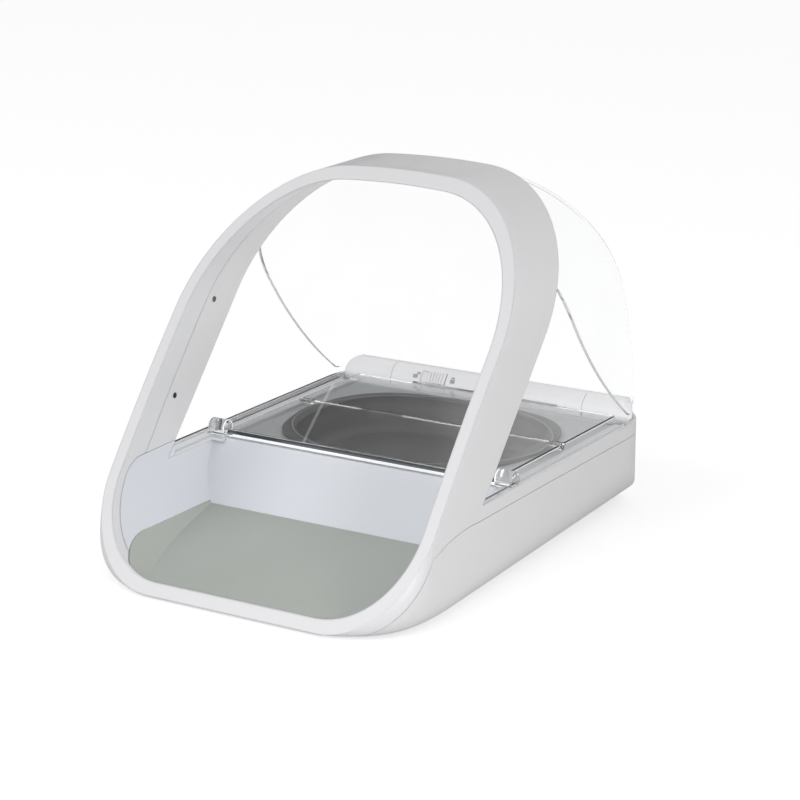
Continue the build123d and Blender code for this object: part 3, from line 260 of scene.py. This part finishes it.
def moulded(name, tone, shade=0.03, rough=(0.29, 0.36), grain=(1400.0, 0.000012), edge=0.0004,
            coat=0.0, glow=0.0):
    """Moulded plastic: slow mottling of the tone, uneven gloss and a fine grain.

    With a glow above nought it also has a faint painted glow, which brightens a painted highlight and is no
    lamp.
    """
    material, tree, shader = new_finish(name)
    low = tuple(channel * (1 - shade) for channel in tone)
    high = tuple(min(1.0, channel * (1 + shade)) for channel in tone)
    mottle = ramp(tree, noise(tree, MOTTLE_SCALE, 1.0), low, high, 0.25, 0.75)
    tree.links.new(mottle, shader.inputs["Base Color"])
    tree.links.new(span(tree, noise(tree, GLOSS_SCALE, 2.0), *rough), shader.inputs["Roughness"])
    shader.inputs["IOR"].default_value = PLASTIC_BEND
    shader.inputs["Coat Weight"].default_value = coat
    shader.inputs["Coat Roughness"].default_value = COAT_ROUGH
    # Emission here is a painted glow, not light from a lamp.
    shader.inputs["Emission Color"].default_value = WHITE
    shader.inputs["Emission Strength"].default_value = glow
    add_grain(tree, shader, grain[0], grain[1], edge)
    return material


def clear(name, tone, rough, shadow, bend=CLEAR_BEND):
    """Clear moulded plastic that lets light through."""
    material, tree, shader = new_finish(name)
    low = tuple(channel * CLEAR_SHADE for channel in tone)
    tree.links.new(ramp(tree, noise(tree, 18.0), low, tone), shader.inputs["Base Color"])
    tree.links.new(span(tree, noise(tree, 90.0, 4.0), *rough), shader.inputs["Roughness"])
    shader.inputs["IOR"].default_value = bend
    shader.inputs["Transmission Weight"].default_value = 1.0
    wave = tree.nodes.new("ShaderNodeBump")
    wave.inputs["Distance"].default_value = 0.00002
    tree.links.new(noise(tree, 60.0), wave.inputs["Height"])
    tree.links.new(wave.outputs["Normal"], shader.inputs["Normal"])
    passing = tree.nodes.new("ShaderNodeBsdfTransparent")
    passing.inputs["Color"].default_value = (shadow, shadow, shadow, 1.0)
    path = tree.nodes.new("ShaderNodeLightPath")
    mix = tree.nodes.new("ShaderNodeMixShader")
    out = tree.nodes["Material Output"]
    tree.links.new(path.outputs["Is Shadow Ray"], mix.inputs["Fac"])
    tree.links.new(shader.outputs["BSDF"], mix.inputs[1])
    tree.links.new(passing.outputs["BSDF"], mix.inputs[2])
    tree.links.new(mix.outputs["Shader"], out.inputs["Surface"])
    return material


def fading_line(name, low, high, bottom, top):
    """Line tone that deepens with height, from bottom to top."""
    material, tree, shader = new_finish(name)
    place = tree.nodes.new("ShaderNodeTexCoord")
    split = tree.nodes.new("ShaderNodeSeparateXYZ")
    rise = tree.nodes.new("ShaderNodeMapRange")
    rise.inputs["From Min"].default_value = bottom
    rise.inputs["From Max"].default_value = top
    tree.links.new(place.outputs["Object"], split.inputs[0])
    tree.links.new(split.outputs["Z"], rise.inputs["Value"])
    tree.links.new(ramp(tree, rise.outputs["Result"], low, high, 0.0, 1.0), shader.inputs["Base Color"])
    tree.links.new(span(tree, noise(tree, 90.0), 0.12, 0.18), shader.inputs["Roughness"])
    add_grain(tree, shader, 700.0, 0.000003, 0.0)
    return material


def rim_darkened(name, inside, rim, low, high):
    """Bowl plastic, a little darker towards its rim."""
    material, tree, shader = new_finish(name)
    place = tree.nodes.new("ShaderNodeTexCoord")
    split = tree.nodes.new("ShaderNodeSeparateXYZ")
    rise = tree.nodes.new("ShaderNodeMapRange")
    rise.inputs["From Min"].default_value = low
    rise.inputs["From Max"].default_value = high
    mottle = tree.nodes.new("ShaderNodeMath")
    mottle.operation = "MULTIPLY_ADD"
    mottle.inputs[1].default_value = 0.25
    mottle.inputs[2].default_value = -0.12
    both = tree.nodes.new("ShaderNodeMath")
    tree.links.new(place.outputs["Object"], split.inputs[0])
    tree.links.new(split.outputs["Z"], rise.inputs["Value"])
    tree.links.new(noise(tree, 60.0, 4.0), mottle.inputs[0])
    tree.links.new(rise.outputs["Result"], both.inputs[0])
    tree.links.new(mottle.outputs[0], both.inputs[1])
    tree.links.new(ramp(tree, both.outputs[0], inside, rim, 0.0, 1.0), shader.inputs["Base Color"])
    tree.links.new(span(tree, noise(tree, GLOSS_SCALE, 2.0), 0.32, 0.40), shader.inputs["Roughness"])
    add_grain(tree, shader, 2600.0, 0.000002)
    return material


def metal(name, tone, rough=(0.28, 0.42), scale=900.0):
    """Bare metal with a fine uneven gloss."""
    material, tree, shader = new_finish(name)
    low = tuple(channel * 0.85 for channel in tone)
    tree.links.new(ramp(tree, noise(tree, scale), low, tone), shader.inputs["Base Color"])
    tree.links.new(span(tree, noise(tree, scale, 6.0), *rough), shader.inputs["Roughness"])
    shader.inputs["Metallic"].default_value = 1.0
    add_grain(tree, shader, 2400.0, 0.000006, 0.0)
    return material


def finish_nodes():
    """Gives every CAD node its finish."""
    gloss_white = moulded("gloss_white", (0.77, 0.77, 0.785), shade=0.008, rough=(0.30, 0.36),
                          grain=(900.0, 0.000006), edge=0.0018)
    bar_white = moulded("bar_white", (0.77, 0.77, 0.785), shade=0.008, rough=(0.30, 0.36),
                        grain=(900.0, 0.000006), edge=0.0006)
    shell_white = moulded("shell_white", (0.765, 0.76, 0.77), shade=0.008, rough=(0.34, 0.42),
                          grain=(1500.0, 0.000010), edge=0.0006)
    tray_white = moulded("tray_white", (0.76, 0.78, 0.83), shade=0.008, rough=(0.30, 0.36),
                         grain=(1100.0, 0.000008))
    mat_grey = moulded("mat_grey", (0.465, 0.495, 0.46), rough=(0.38, 0.52),
                       grain=(1800.0, 0.00002), edge=0.0)
    bowl_grey = rim_darkened("bowl_grey", inside=(0.178, 0.18, 0.176), rim=(0.105, 0.106, 0.102),
                             low=50 * MM, high=56 * MM)
    cradle_grey = moulded("cradle_grey", (0.62, 0.645, 0.66), shade=0.02, rough=(0.30, 0.42),
                          grain=(1500.0, 0.000006))
    rubber = moulded("foot_rubber", (0.09, 0.09, 0.095), shade=0.08, rough=(0.7, 0.85),
                     grain=(2200.0, 0.00004))
    button_grey = moulded("button_grey", (0.30, 0.31, 0.32), shade=0.04, rough=(0.35, 0.5))
    gear_white = moulded("gear_white", (0.72, 0.71, 0.68), shade=0.02, rough=(0.4, 0.55))
    case_dark = moulded("gearcase_dark", (0.03, 0.03, 0.032), shade=0.1, rough=(0.4, 0.55))
    sensor_black = moulded("sensor_black", (0.012, 0.010, 0.016), shade=0.1, rough=(0.05, 0.10),
                           grain=(600.0, 0.000002), coat=0.6)
    board_green = moulded("board_green", (0.012, 0.09, 0.035), shade=0.15, rough=(0.35, 0.5),
                          grain=(1200.0, 0.00003))
    jacket = moulded("cell_jacket", (0.03, 0.032, 0.036), shade=0.1, rough=(0.30, 0.38))
    clear_cover = clear("clear_cover", (0.992, 0.994, 0.995), rough=(0.01, 0.02), shadow=0.95, bend=1.02)
    clear_lid = clear("clear_lid", (0.97, 0.975, 0.975), rough=(0.01, 0.03), shadow=0.93)
    clear_rail = clear("clear_rail", (0.96, 0.965, 0.975), rough=(0.02, 0.05), shadow=0.93)
    clear_shoe = clear("clear_shoe", (0.975, 0.98, 0.98), rough=(0.02, 0.05), shadow=0.93, bend=1.20)
    steel = metal("bright_steel", (0.62, 0.62, 0.64))
    copper = metal("coil_copper", (0.75, 0.36, 0.20))
    wear = {
        "front_ring": gloss_white, "hinge_barrel": bar_white, "lock_slider": bar_white,
        "upper_housing": shell_white, "lower_housing": shell_white,
        "tray_liner": tray_white, "tray_mat": mat_grey, "bowl": bowl_grey, "bowl_cradle": cradle_grey,
        "lid_rear_panel": clear_lid, "lid_front_panel": clear_lid, "rear_cover": clear_cover,
        "fold_pins": steel, "slider_rod": steel, "drive_shaft": steel, "drive_motor": steel,
        "battery_contacts": steel, "battery_springs": steel, "board_screws": steel, "housing_screws": steel,
        "lid_gear": gear_white, "drive_gear": gear_white, "gearbox": case_dark,
        "main_board": board_green, "button_board": board_green, "antenna_coil": copper, "rubber_feet": rubber,
        "button_left": button_grey, "button_middle": button_grey, "button_right": button_grey,
    }
    for word in ("left", "right"):
        wear[f"slider_{word}"] = clear_shoe
        wear[f"side_rail_{word}"] = clear_rail
        wear[f"hinge_cap_{word}"] = bar_white
        wear[f"battery_door_{word}"] = shell_white
        wear[f"sensor_windows_{word}"] = sensor_black
        wear[f"sensor_board_{word}"] = board_green
        wear[f"battery_{word}_inner"] = jacket
        wear[f"battery_{word}_outer"] = jacket
    for name, material in wear.items():
        mesh = nodes[name].data
        mesh.materials.clear()
        mesh.materials.append(material)
    unworn = sorted(set(nodes) - set(wear))
    if unworn:
        raise RuntimeError(f"no finish for {unworn}")


# ---------------------------------------------------------------- modelling
def alone(piece):
    bpy.ops.object.select_all(action="DESELECT")
    piece.select_set(True)
    bpy.context.view_layer.objects.active = piece


def open_up(piece):
    """Takes one piece alone into edit mode."""
    alone(piece)
    bpy.ops.object.mode_set(mode="EDIT")


def pick(piece, rule, kind="FACE"):
    """Picks the faces or edges of the open piece that a rule accepts."""
    bpy.ops.mesh.select_mode(type=kind)
    bpy.ops.mesh.select_all(action="DESELECT")
    mesh = bmesh.from_edit_mesh(piece.data)
    mesh.normal_update()
    for item in (mesh.faces if kind == "FACE" else mesh.edges):
        if rule(item):
            item.select_set(True)
    mesh.select_flush_mode()
    bmesh.update_edit_mesh(piece.data)


def settle(piece):
    """Closes the piece and sets its place into its mesh."""
    if bpy.context.mode != "OBJECT":
        bpy.ops.object.mode_set(mode="OBJECT")
    alone(piece)
    bpy.ops.object.transform_apply(location=True, rotation=True, scale=True)


def thicken(piece, wall, side):
    """Gives a sheet its wall: side 1 outwards, side -1 inwards."""
    skin = piece.modifiers.new("wall", "SOLIDIFY")
    skin.thickness = wall
    skin.offset = side
    alone(piece)
    bpy.ops.object.modifier_apply(modifier=skin.name)


def dress(piece, body, slot, *materials):
    piece.data.materials.clear()
    for material in materials:
        piece.data.materials.append(material)
    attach(piece, body)


# ---------------------------------------------------------------- lid lip
LIP_Y = -19.7 * MM
LIP_Z = 59.2 * MM
LIP_RADIUS = 2.4 * MM
LIP_HALF_X = 97.3 * MM
LIP_PROUD = 0.05 * MM
LIP_WALL = 0.15 * MM
LIP_DARK_REFLECTION_ARC = (8, 58)
LIP_HIGHLIGHT_ARC = (-52, 7)
HIGHLIGHT_START_X = -95.5 * MM
HIGHLIGHT_SCORE = (-0.25, 0, 1)
HIGHLIGHT_SLANT = (1, 0, -3.2)


def lip_strip(name, arc, material, start=None):
    """Painted strip along the bullnose of the clear front leaf, between two angles above straight ahead: the
    dark one is a painted dark reflection band, the white one a painted highlight.

    With a start, its left end is cut on a slant there.
    """
    low, high = arc
    bpy.ops.mesh.primitive_cylinder_add(
        vertices=120, radius=LIP_RADIUS + LIP_PROUD, depth=2 * LIP_HALF_X, end_fill_type="NOTHING",
        location=(0, LIP_Y, LIP_Z), rotation=(0, pi / 2, 0))
    strip = bpy.context.object
    strip.name = name
    settle(strip)
    open_up(strip)

    def outside(face):
        middle = face.calc_center_median()
        angle = degrees(atan2(middle.z - LIP_Z, LIP_Y - middle.y))
        return not low < angle < high

    pick(strip, outside)
    bpy.ops.mesh.delete(type="FACE")
    if start is not None:
        bpy.ops.mesh.select_all(action="SELECT")
        bpy.ops.mesh.bisect(plane_co=(start, LIP_Y, LIP_Z), plane_no=HIGHLIGHT_SCORE, clear_outer=False,
                            clear_inner=False)
        bpy.ops.mesh.select_all(action="SELECT")
        bpy.ops.mesh.bisect(plane_co=(start, LIP_Y, LIP_Z - LIP_RADIUS), plane_no=HIGHLIGHT_SLANT,
                            clear_inner=True, clear_outer=False)
    settle(strip)
    thicken(strip, LIP_WALL, -1)
    alone(strip)
    bpy.ops.object.shade_smooth_by_angle(angle=radians(40))
    dress(strip, "lid_front", "clear_lid", material)


LID_SIDE_X = 97.5 * MM
EDGE_HIGHLIGHT_Z = 60.0 * MM
EDGE_HIGHLIGHT_WIDE = 0.3 * MM
EDGE_HIGHLIGHT_TALL = 1.1 * MM
EDGE_HIGHLIGHT_ROUND = 0.12 * MM
FRONT_HIGHLIGHT_REACH = (-17 * MM, 60 * MM)
REAR_HIGHLIGHT_REACH = (67.5 * MM, 134 * MM)


def lid_edge_highlight(name, side, reach, body, material):
    """Pale strip along the lower half of a clear leaf's polished side edge, a painted highlight of that edge.
    """
    front, rear = reach
    bpy.ops.object.select_all(action="DESELECT")
    bpy.ops.mesh.primitive_cube_add(size=1.0)
    edge_highlight = bpy.context.object
    edge_highlight.name = name
    edge_highlight.scale = (EDGE_HIGHLIGHT_WIDE, rear - front, EDGE_HIGHLIGHT_TALL)
    edge_highlight.location = (side * LID_SIDE_X, (front + rear) / 2, EDGE_HIGHLIGHT_Z)
    settle(edge_highlight)
    open_up(edge_highlight)
    pick(edge_highlight, lambda edge: abs(edge.verts[0].co.y - edge.verts[1].co.y) > 1.0 * MM, "EDGE")
    bpy.ops.mesh.bevel(offset=EDGE_HIGHLIGHT_ROUND, segments=2)
    settle(edge_highlight)
    bpy.ops.object.shade_smooth_by_angle(angle=radians(35))
    dress(edge_highlight, body, "clear_lid", material)


def copied(name, *names):
    """New piece copied from CAD nodes, joined and welded, left in edit mode."""
    copies = []
    for node in names:
        mesh = nodes[node].data.copy()
        mesh.name = name
        piece = bpy.data.objects.new(name, mesh)
        bpy.context.scene.collection.objects.link(piece)
        copies.append(piece)
    if len(copies) > 1:
        alone(copies[0])
        for piece in copies:
            piece.select_set(True)
        bpy.ops.object.join()
    open_up(copies[0])
    bpy.ops.mesh.select_all(action="SELECT")
    bpy.ops.mesh.remove_doubles(threshold=WELD)
    return copies[0]


# ---------------------------------------------------------------- cover edges
COVER_EDGE_Y = 315.996 * MM
COVER_EDGE_Z = 335.646 * MM
COVER_EDGE_SWEEP = 329.285 * MM
COVER_LINE = 0.36 * MM
COVER_EDGE_WALL = 0.25 * MM


def cover_edges(pale, line):
    """Polished side edges of the clear cover, pale as a painted highlight, with a thin painted dark line
    along both corners.
    """
    edges = copied("cover_edges", "rear_cover")

    def elsewhere(face):
        return any(
            abs(hypot(point.co.y - COVER_EDGE_Y, point.co.z - COVER_EDGE_Z) - COVER_EDGE_SWEEP) > 0.05 * MM
            for point in face.verts)

    pick(edges, elsewhere)
    bpy.ops.mesh.delete(type="FACE")
    bpy.ops.mesh.select_mode(type="FACE")
    bpy.ops.mesh.select_all(action="SELECT")
    bpy.ops.mesh.dissolve_limited(angle_limit=radians(0.2))
    bpy.ops.mesh.select_all(action="SELECT")
    bpy.ops.mesh.inset(thickness=COVER_LINE)
    bpy.ops.mesh.select_all(action="INVERT")
    mesh = bmesh.from_edit_mesh(edges.data)
    for face in mesh.faces:
        face.material_index = 1 if face.select else 0
    bmesh.update_edit_mesh(edges.data)
    settle(edges)
    thicken(edges, COVER_EDGE_WALL, 1)
    dress(edges, "cover", "clear_sheet", pale, line)


# ---------------------------------------------------------------- hoop seam
SEAM_HALF = 1.3 * MM
SEAM_GAP = 0.3 * MM
SEAM_WALL = 0.03 * MM
HOOP_MIDDLE_Z = 110 * MM


def hoop_seam(material):
    """Flush band closing the outer seam between the front ring and the housing."""
    band = copied("hoop_seam", "front_ring")

    def outer_side(face):
        middle = face.calc_center_median()
        outwards = face.normal.x * middle.x + face.normal.z * (middle.z - HOOP_MIDDLE_Z)
        return face.normal.y < 0.3 and outwards > 0

    def rear_rim(edge):
        sides = [face for face in edge.link_faces if outer_side(face)]
        backs = [face for face in edge.link_faces if face.normal.y > 0.4]
        return len(sides) == 1 and len(backs) == 1

    pick(band, rear_rim, "EDGE")
    bpy.ops.mesh.select_all(action="INVERT")
    bpy.ops.mesh.delete(type="EDGE")
    bpy.ops.mesh.select_all(action="SELECT")
    bpy.ops.transform.translate(value=(0, -SEAM_HALF, 0))
    bpy.ops.mesh.extrude_region_move(TRANSFORM_OT_translate={"value": (0, 2 * SEAM_HALF + SEAM_GAP, 0)})
    bpy.ops.mesh.select_all(action="SELECT")
    bpy.ops.mesh.normals_make_consistent(inside=False)
    settle(band)
    skin = copied("outer_skin", "front_ring", "upper_housing", "lower_housing")
    settle(skin)
    wrap = band.modifiers.new("wrap", "SHRINKWRAP")
    wrap.target = skin
    wrap.wrap_method = "NEAREST_SURFACEPOINT"
    alone(band)
    bpy.ops.object.modifier_apply(modifier="wrap")
    bpy.data.objects.remove(skin)
    thicken(band, SEAM_WALL, 1)
    bpy.ops.object.shade_smooth_by_angle(angle=radians(30))
    dress(band, "base", "white_front", material)


# ---------------------------------------------------------------- rail linings and shoe rings
RAIL_BED_Z = 56.2 * MM
RAIL_WALL_X = 110.4 * MM
RAIL_SPLIT_Y = -26 * MM
RAIL_FRONT_Y = -64.9 * MM
RAIL_REAR_Y = 133.6 * MM
RAIL_NARROW_X = 106.95 * MM
RAIL_WIDE_X = 98.55 * MM
RAIL_NARROW_RISE = 3.2 * MM
RAIL_WIDE_RISE = 1.5 * MM
RAIL_TURN_DOWN = 1.7 * MM
RAIL_REACH = 0.1 * MM
LINING_PROUD = 0.05 * MM
LINING_WALL = 0.08 * MM
STOP_SIZE = (4.9 * MM, 2.2 * MM, 5.6 * MM)
STOP_PLACE = (109.6 * MM, -66.1 * MM, 57.35 * MM)
STOP_SLOPE = 4.9 * MM
STOP_ROUND = 0.2 * MM


def rail_bed(near_x, reach, rise, side):
    """One length of lining: the channel floor, turned up at the wall and down at the inner side."""
    drop = RAIL_TURN_DOWN
    front, rear = reach
    bpy.ops.mesh.primitive_plane_add(size=1.0)
    bed = bpy.context.object
    bed.scale = (RAIL_WALL_X - near_x, rear - front, 1)
    bed.location = (side * (RAIL_WALL_X + near_x) / 2, (front + rear) / 2, RAIL_BED_Z + LINING_PROUD)
    settle(bed)
    open_up(bed)
    pick(bed, lambda edge: all(abs(abs(point.co.x) - RAIL_WALL_X) < RAIL_REACH
                               for point in edge.verts), "EDGE")
    bpy.ops.mesh.extrude_region_move(TRANSFORM_OT_translate={"value": (0, 0, rise)})
    pick(bed, lambda edge: all(abs(abs(point.co.x) - near_x) < RAIL_REACH
                               for point in edge.verts), "EDGE")
    bpy.ops.mesh.extrude_region_move(TRANSFORM_OT_translate={"value": (0, 0, -drop)})
    pick(bed, lambda edge: all(abs(point.co.y - front) < RAIL_REACH
                               and abs(point.co.z - RAIL_BED_Z) < RAIL_REACH
                               for point in edge.verts), "EDGE")
    bpy.ops.mesh.extrude_region_move(TRANSFORM_OT_translate={"value": (0, 0, -drop)})
    settle(bed)
    return bed


def rail_stop(name, side, material):
    """White filler between the front end of the rail and the hoop's sloping rear edge."""
    bpy.ops.object.select_all(action="DESELECT")
    bpy.ops.mesh.primitive_cube_add(size=1.0)
    stop = bpy.context.object
    stop.name = name
    stop.scale = STOP_SIZE
    stop.location = (side * STOP_PLACE[0], STOP_PLACE[1], STOP_PLACE[2])
    settle(stop)
    open_up(stop)
    pick(stop, lambda edge: all(point.co.y < STOP_PLACE[1] and point.co.z < STOP_PLACE[2]
                                for point in edge.verts), "EDGE")
    bpy.ops.transform.translate(value=(0, -STOP_SLOPE, 0))
    pick(stop, lambda edge: abs(edge.verts[0].co.x - edge.verts[1].co.x) > 1.0 * MM, "EDGE")
    bpy.ops.mesh.bevel(offset=STOP_ROUND, segments=2)
    settle(stop)
    bpy.ops.object.shade_smooth_by_angle(angle=radians(35))
    dress(stop, "base", "tray_white", material)


def rail_lining(name, side, material):
    """Pale lining of one clear rail, narrow beside the tray and wide beside the bowl."""
    bpy.ops.object.select_all(action="DESELECT")
    narrow = rail_bed(RAIL_NARROW_X, (RAIL_FRONT_Y, RAIL_SPLIT_Y), RAIL_NARROW_RISE, side)
    wide = rail_bed(RAIL_WIDE_X, (RAIL_SPLIT_Y - LINING_PROUD, RAIL_REAR_Y), RAIL_WIDE_RISE, side)
    alone(wide)
    narrow.select_set(True)
    bpy.ops.object.join()
    wide.name = name
    thicken(wide, LINING_WALL, 0)
    dress(wide, "base", "clear_sheet", material)


SHOE_INNER_X = 98.8 * MM
SHOE_OUTER_X = 109.7 * MM
SHOE_RADIUS = 5.4 * MM
SHOE_RING_WIRE = 0.3 * MM
SHOE_Z = 62.0 * MM
SHOE_FLAT_Z = 60.6 * MM


def shoe_ring(name, x, material):
    """Thin ring round the end of a clear shoe, cut flat at the bottom; in white it is a painted highlight of
    the shoe's edge, in grey a painted outline.
    """
    bpy.ops.object.select_all(action="DESELECT")
    bpy.ops.mesh.primitive_torus_add(
        major_radius=SHOE_RADIUS - SHOE_RING_WIRE, minor_radius=SHOE_RING_WIRE, major_segments=72, minor_segments=10,
        location=(x, LIP_Y, SHOE_Z), rotation=(0, pi / 2, 0))
    ring = bpy.context.object
    ring.name = name
    settle(ring)
    open_up(ring)
    pick(ring, lambda face: face.calc_center_median().z < SHOE_FLAT_Z)
    bpy.ops.mesh.delete(type="FACE")
    pick(ring, lambda edge: edge.is_boundary, "EDGE")
    bpy.ops.mesh.edge_face_add()
    settle(ring)
    bpy.ops.object.shade_smooth_by_angle(angle=radians(40))
    dress(ring, "lid_shoes", "clear_sheet", material)


# ---------------------------------------------------------------- bowl rim
BOWL_Y = 55 * MM
BOWL_RIM_X = 87.2 * MM
BOWL_RIM_Y = 71.2 * MM
BOWL_RIM_Z = 56.25 * MM
BOWL_HIGHLIGHT_WIRE = 0.5 * MM
BOWL_SHADOW_WIRE = 0.45 * MM
SHADOW_LINE_OUT = 1.7 * MM
SHADOW_LINE_DOWN = 0.25 * MM


def bowl_ring(name, half_x, half_y, z, thick, material):
    """Thin ring round the bowl's oval rim: the lighter one is a painted highlight, the dark one a painted
    shadow in the rim's gap.
    """
    bpy.ops.object.select_all(action="DESELECT")
    middle = (half_x + half_y) / 2
    bpy.ops.mesh.primitive_torus_add(
        major_radius=middle, minor_radius=thick, major_segments=160, minor_segments=10)
    ring = bpy.context.object
    ring.name = name
    ring.scale = (half_x / middle, half_y / middle, 1)
    ring.location = (0, BOWL_Y, z)
    settle(ring)
    bpy.ops.object.shade_smooth()
    dress(ring, "base", "bowl_grey", material)


# ---------------------------------------------------------------- padlock marks
MARK_LEAN = radians(57.7)
OPEN_MARK_X = -54.1 * MM
SHUT_MARK_X = -25.2 * MM
BARREL_Y = 147.0 * MM
BARREL_Z = 59.2 * MM
BARREL_RADIUS = 11.8 * MM
CASE_SIZE = (3.3 * MM, 2.5 * MM, 0.36 * MM)
CASE_ROUND = 0.35 * MM
CASE_STEP = 0.18 * MM
CASE_RISE = 0.05 * MM
SHACKLE_RADIUS = 1.05 * MM
SHACKLE_WIRE = 0.24 * MM
SHACKLE_LEG = 0.75 * MM
SHACKLE_SWUNG = 2.1 * MM
SHACKLE_UP = 1.9 * MM


def padlock_mark(name, x, lifted, material):
    """Small raised padlock beside the lid lock, its shackle shut or swung clear."""
    bpy.ops.object.select_all(action="DESELECT")
    bpy.ops.mesh.primitive_cube_add(size=1.0)
    case = bpy.context.object
    case.name = name
    case.scale = CASE_SIZE
    settle(case)
    open_up(case)
    pick(case, lambda edge: abs(edge.verts[0].co.z - edge.verts[1].co.z) > 0.2 * MM, "EDGE")
    bpy.ops.mesh.bevel(offset=CASE_ROUND, segments=3)
    pick(case, lambda face: face.normal.z > 0.9)
    bpy.ops.mesh.inset(thickness=CASE_STEP)
    bpy.ops.transform.translate(value=(0, 0, CASE_RISE))
    settle(case)
    bpy.ops.object.select_all(action="DESELECT")
    bpy.ops.mesh.primitive_torus_add(
        major_radius=SHACKLE_RADIUS, minor_radius=SHACKLE_WIRE, major_segments=24, minor_segments=8)
    shackle = bpy.context.object
    open_up(shackle)
    bpy.ops.mesh.select_all(action="SELECT")
    bpy.ops.mesh.bisect(plane_co=(0, 0, 0), plane_no=(0, 1, 0), clear_inner=True, use_fill=True)
    pick(shackle, lambda face: face.normal.y < -0.9)
    bpy.ops.mesh.extrude_region_move(TRANSFORM_OT_translate={"value": (0, -SHACKLE_LEG, 0)})
    settle(shackle)
    shackle.location = (SHACKLE_SWUNG if lifted else 0.0, SHACKLE_UP, 0)
    settle(shackle)
    alone(case)
    shackle.select_set(True)
    bpy.ops.object.join()
    case.rotation_euler = (MARK_LEAN, 0, 0)
    case.location = (
        x, BARREL_Y - BARREL_RADIUS * sin(MARK_LEAN), BARREL_Z + BARREL_RADIUS * cos(MARK_LEAN))
    settle(case)
    bpy.ops.object.shade_smooth_by_angle(angle=radians(35))
    dress(case, "lid_rear", "button_grey", material)


# ---------------------------------------------------------------- the whole scene
bpy.ops.object.select_all(action="DESELECT")
bpy.context.scene.view_settings.view_transform = "Standard"
finish_nodes()
# Dark strip on the clear lip: a painted dark reflection band.
lip_painted_dark_reflection = moulded("lip_painted_dark_reflection", (0.035, 0.045, 0.06), shade=0.08, rough=(0.10, 0.16),
                    grain=(700.0, 0.000003))
# White strip on the clear lip and the shoes' inner rings: a painted highlight with a faint painted glow.
lip_painted_highlight = moulded("lip_painted_highlight", (0.94, 0.945, 0.95), shade=0.01, rough=(0.10, 0.16),
                    grain=(700.0, 0.000002), glow=0.26)
# Pale finish on the polished edges of the clear lid and cover: a painted highlight.
edge_painted_highlight = moulded("edge_painted_highlight", (0.88, 0.885, 0.89), shade=0.02, rough=(0.12, 0.18),
                    grain=(700.0, 0.000003))
# Painted dark line along the clear cover's edge corners, pale low down and deepening with height.
edge_painted_dark_line = fading_line("edge_painted_dark_line", (0.55, 0.56, 0.57), (0.07, 0.075, 0.08),
                        bottom=80 * MM, top=176 * MM)
mark_grey = moulded("mark_grey", (0.33, 0.33, 0.35), shade=0.05, rough=(0.40, 0.50),
                    grain=(1800.0, 0.000004))
lip_strip("lid_lip_painted_dark_reflection", LIP_DARK_REFLECTION_ARC, lip_painted_dark_reflection)
lip_strip("lid_lip_painted_highlight", LIP_HIGHLIGHT_ARC, lip_painted_highlight, HIGHLIGHT_START_X)
for word, side in (("left", -1), ("right", 1)):
    lid_edge_highlight(f"lid_front_highlight_{word}", side, FRONT_HIGHLIGHT_REACH, "lid_front", edge_painted_highlight)
    lid_edge_highlight(f"lid_rear_highlight_{word}", side, REAR_HIGHLIGHT_REACH, "lid_rear", edge_painted_highlight)
cover_edges(edge_painted_highlight, edge_painted_dark_line)
seam_white = moulded("seam_white", (0.768, 0.767, 0.78), shade=0.008, rough=(0.32, 0.38),
                     grain=(1100.0, 0.000006), edge=0.0)
bed_pale = moulded("bed_pale", (0.80, 0.81, 0.825), shade=0.02, rough=(0.30, 0.38),
                   grain=(900.0, 0.000006), edge=0.0)
# Grey for painted lines: a painted outline on the clear shoes and a painted highlight ring on the bowl's rim.
painted_line_grey = moulded("painted_line_grey", (0.36, 0.36, 0.355), rough=(0.30, 0.38),
                    grain=(900.0, 0.000004), edge=0.0)
# Near-black ring round the bowl's rim: a painted shadow line in the rim's gap.
rim_painted_shadow = moulded("rim_painted_shadow", (0.03, 0.03, 0.03), shade=0.05, rough=(0.40, 0.50),
                      grain=(900.0, 0.000004), edge=0.0)
hoop_seam(seam_white)
for word, side in (("left", -1), ("right", 1)):
    rail_lining(f"rail_lining_{word}", side, bed_pale)
    rail_stop(f"rail_stop_{word}", side, bed_pale)
    # Inner ring: a painted highlight of the clear shoe; outer ring: a painted grey outline.
    shoe_ring(f"shoe_inner_ring_{word}", side * SHOE_INNER_X, lip_painted_highlight)
    shoe_ring(f"shoe_outer_ring_{word}", side * SHOE_OUTER_X, painted_line_grey)
bowl_ring("bowl_rim_highlight_line", BOWL_RIM_X, BOWL_RIM_Y, BOWL_RIM_Z, BOWL_HIGHLIGHT_WIRE, painted_line_grey)
bowl_ring("bowl_rim_shadow_line", BOWL_RIM_X + SHADOW_LINE_OUT, BOWL_RIM_Y + SHADOW_LINE_OUT, BOWL_RIM_Z - SHADOW_LINE_DOWN,
          BOWL_SHADOW_WIRE, rim_painted_shadow)
padlock_mark("padlock_open", OPEN_MARK_X, True, mark_grey)
padlock_mark("padlock_shut", SHUT_MARK_X, False, mark_grey)
place_camera()
light_world(AIR_FILL)
softbox("soft_front", place=(-1.1, -2.2, 1.0), size=2.0, power=22.0)
softbox("soft_right", place=(2.2, -0.9, 0.2), size=1.6, power=10.0)
softbox("soft_low", place=(0.80, -0.62, 0.15), size=0.28, power=2.6)
lay_floor()
hang_card()
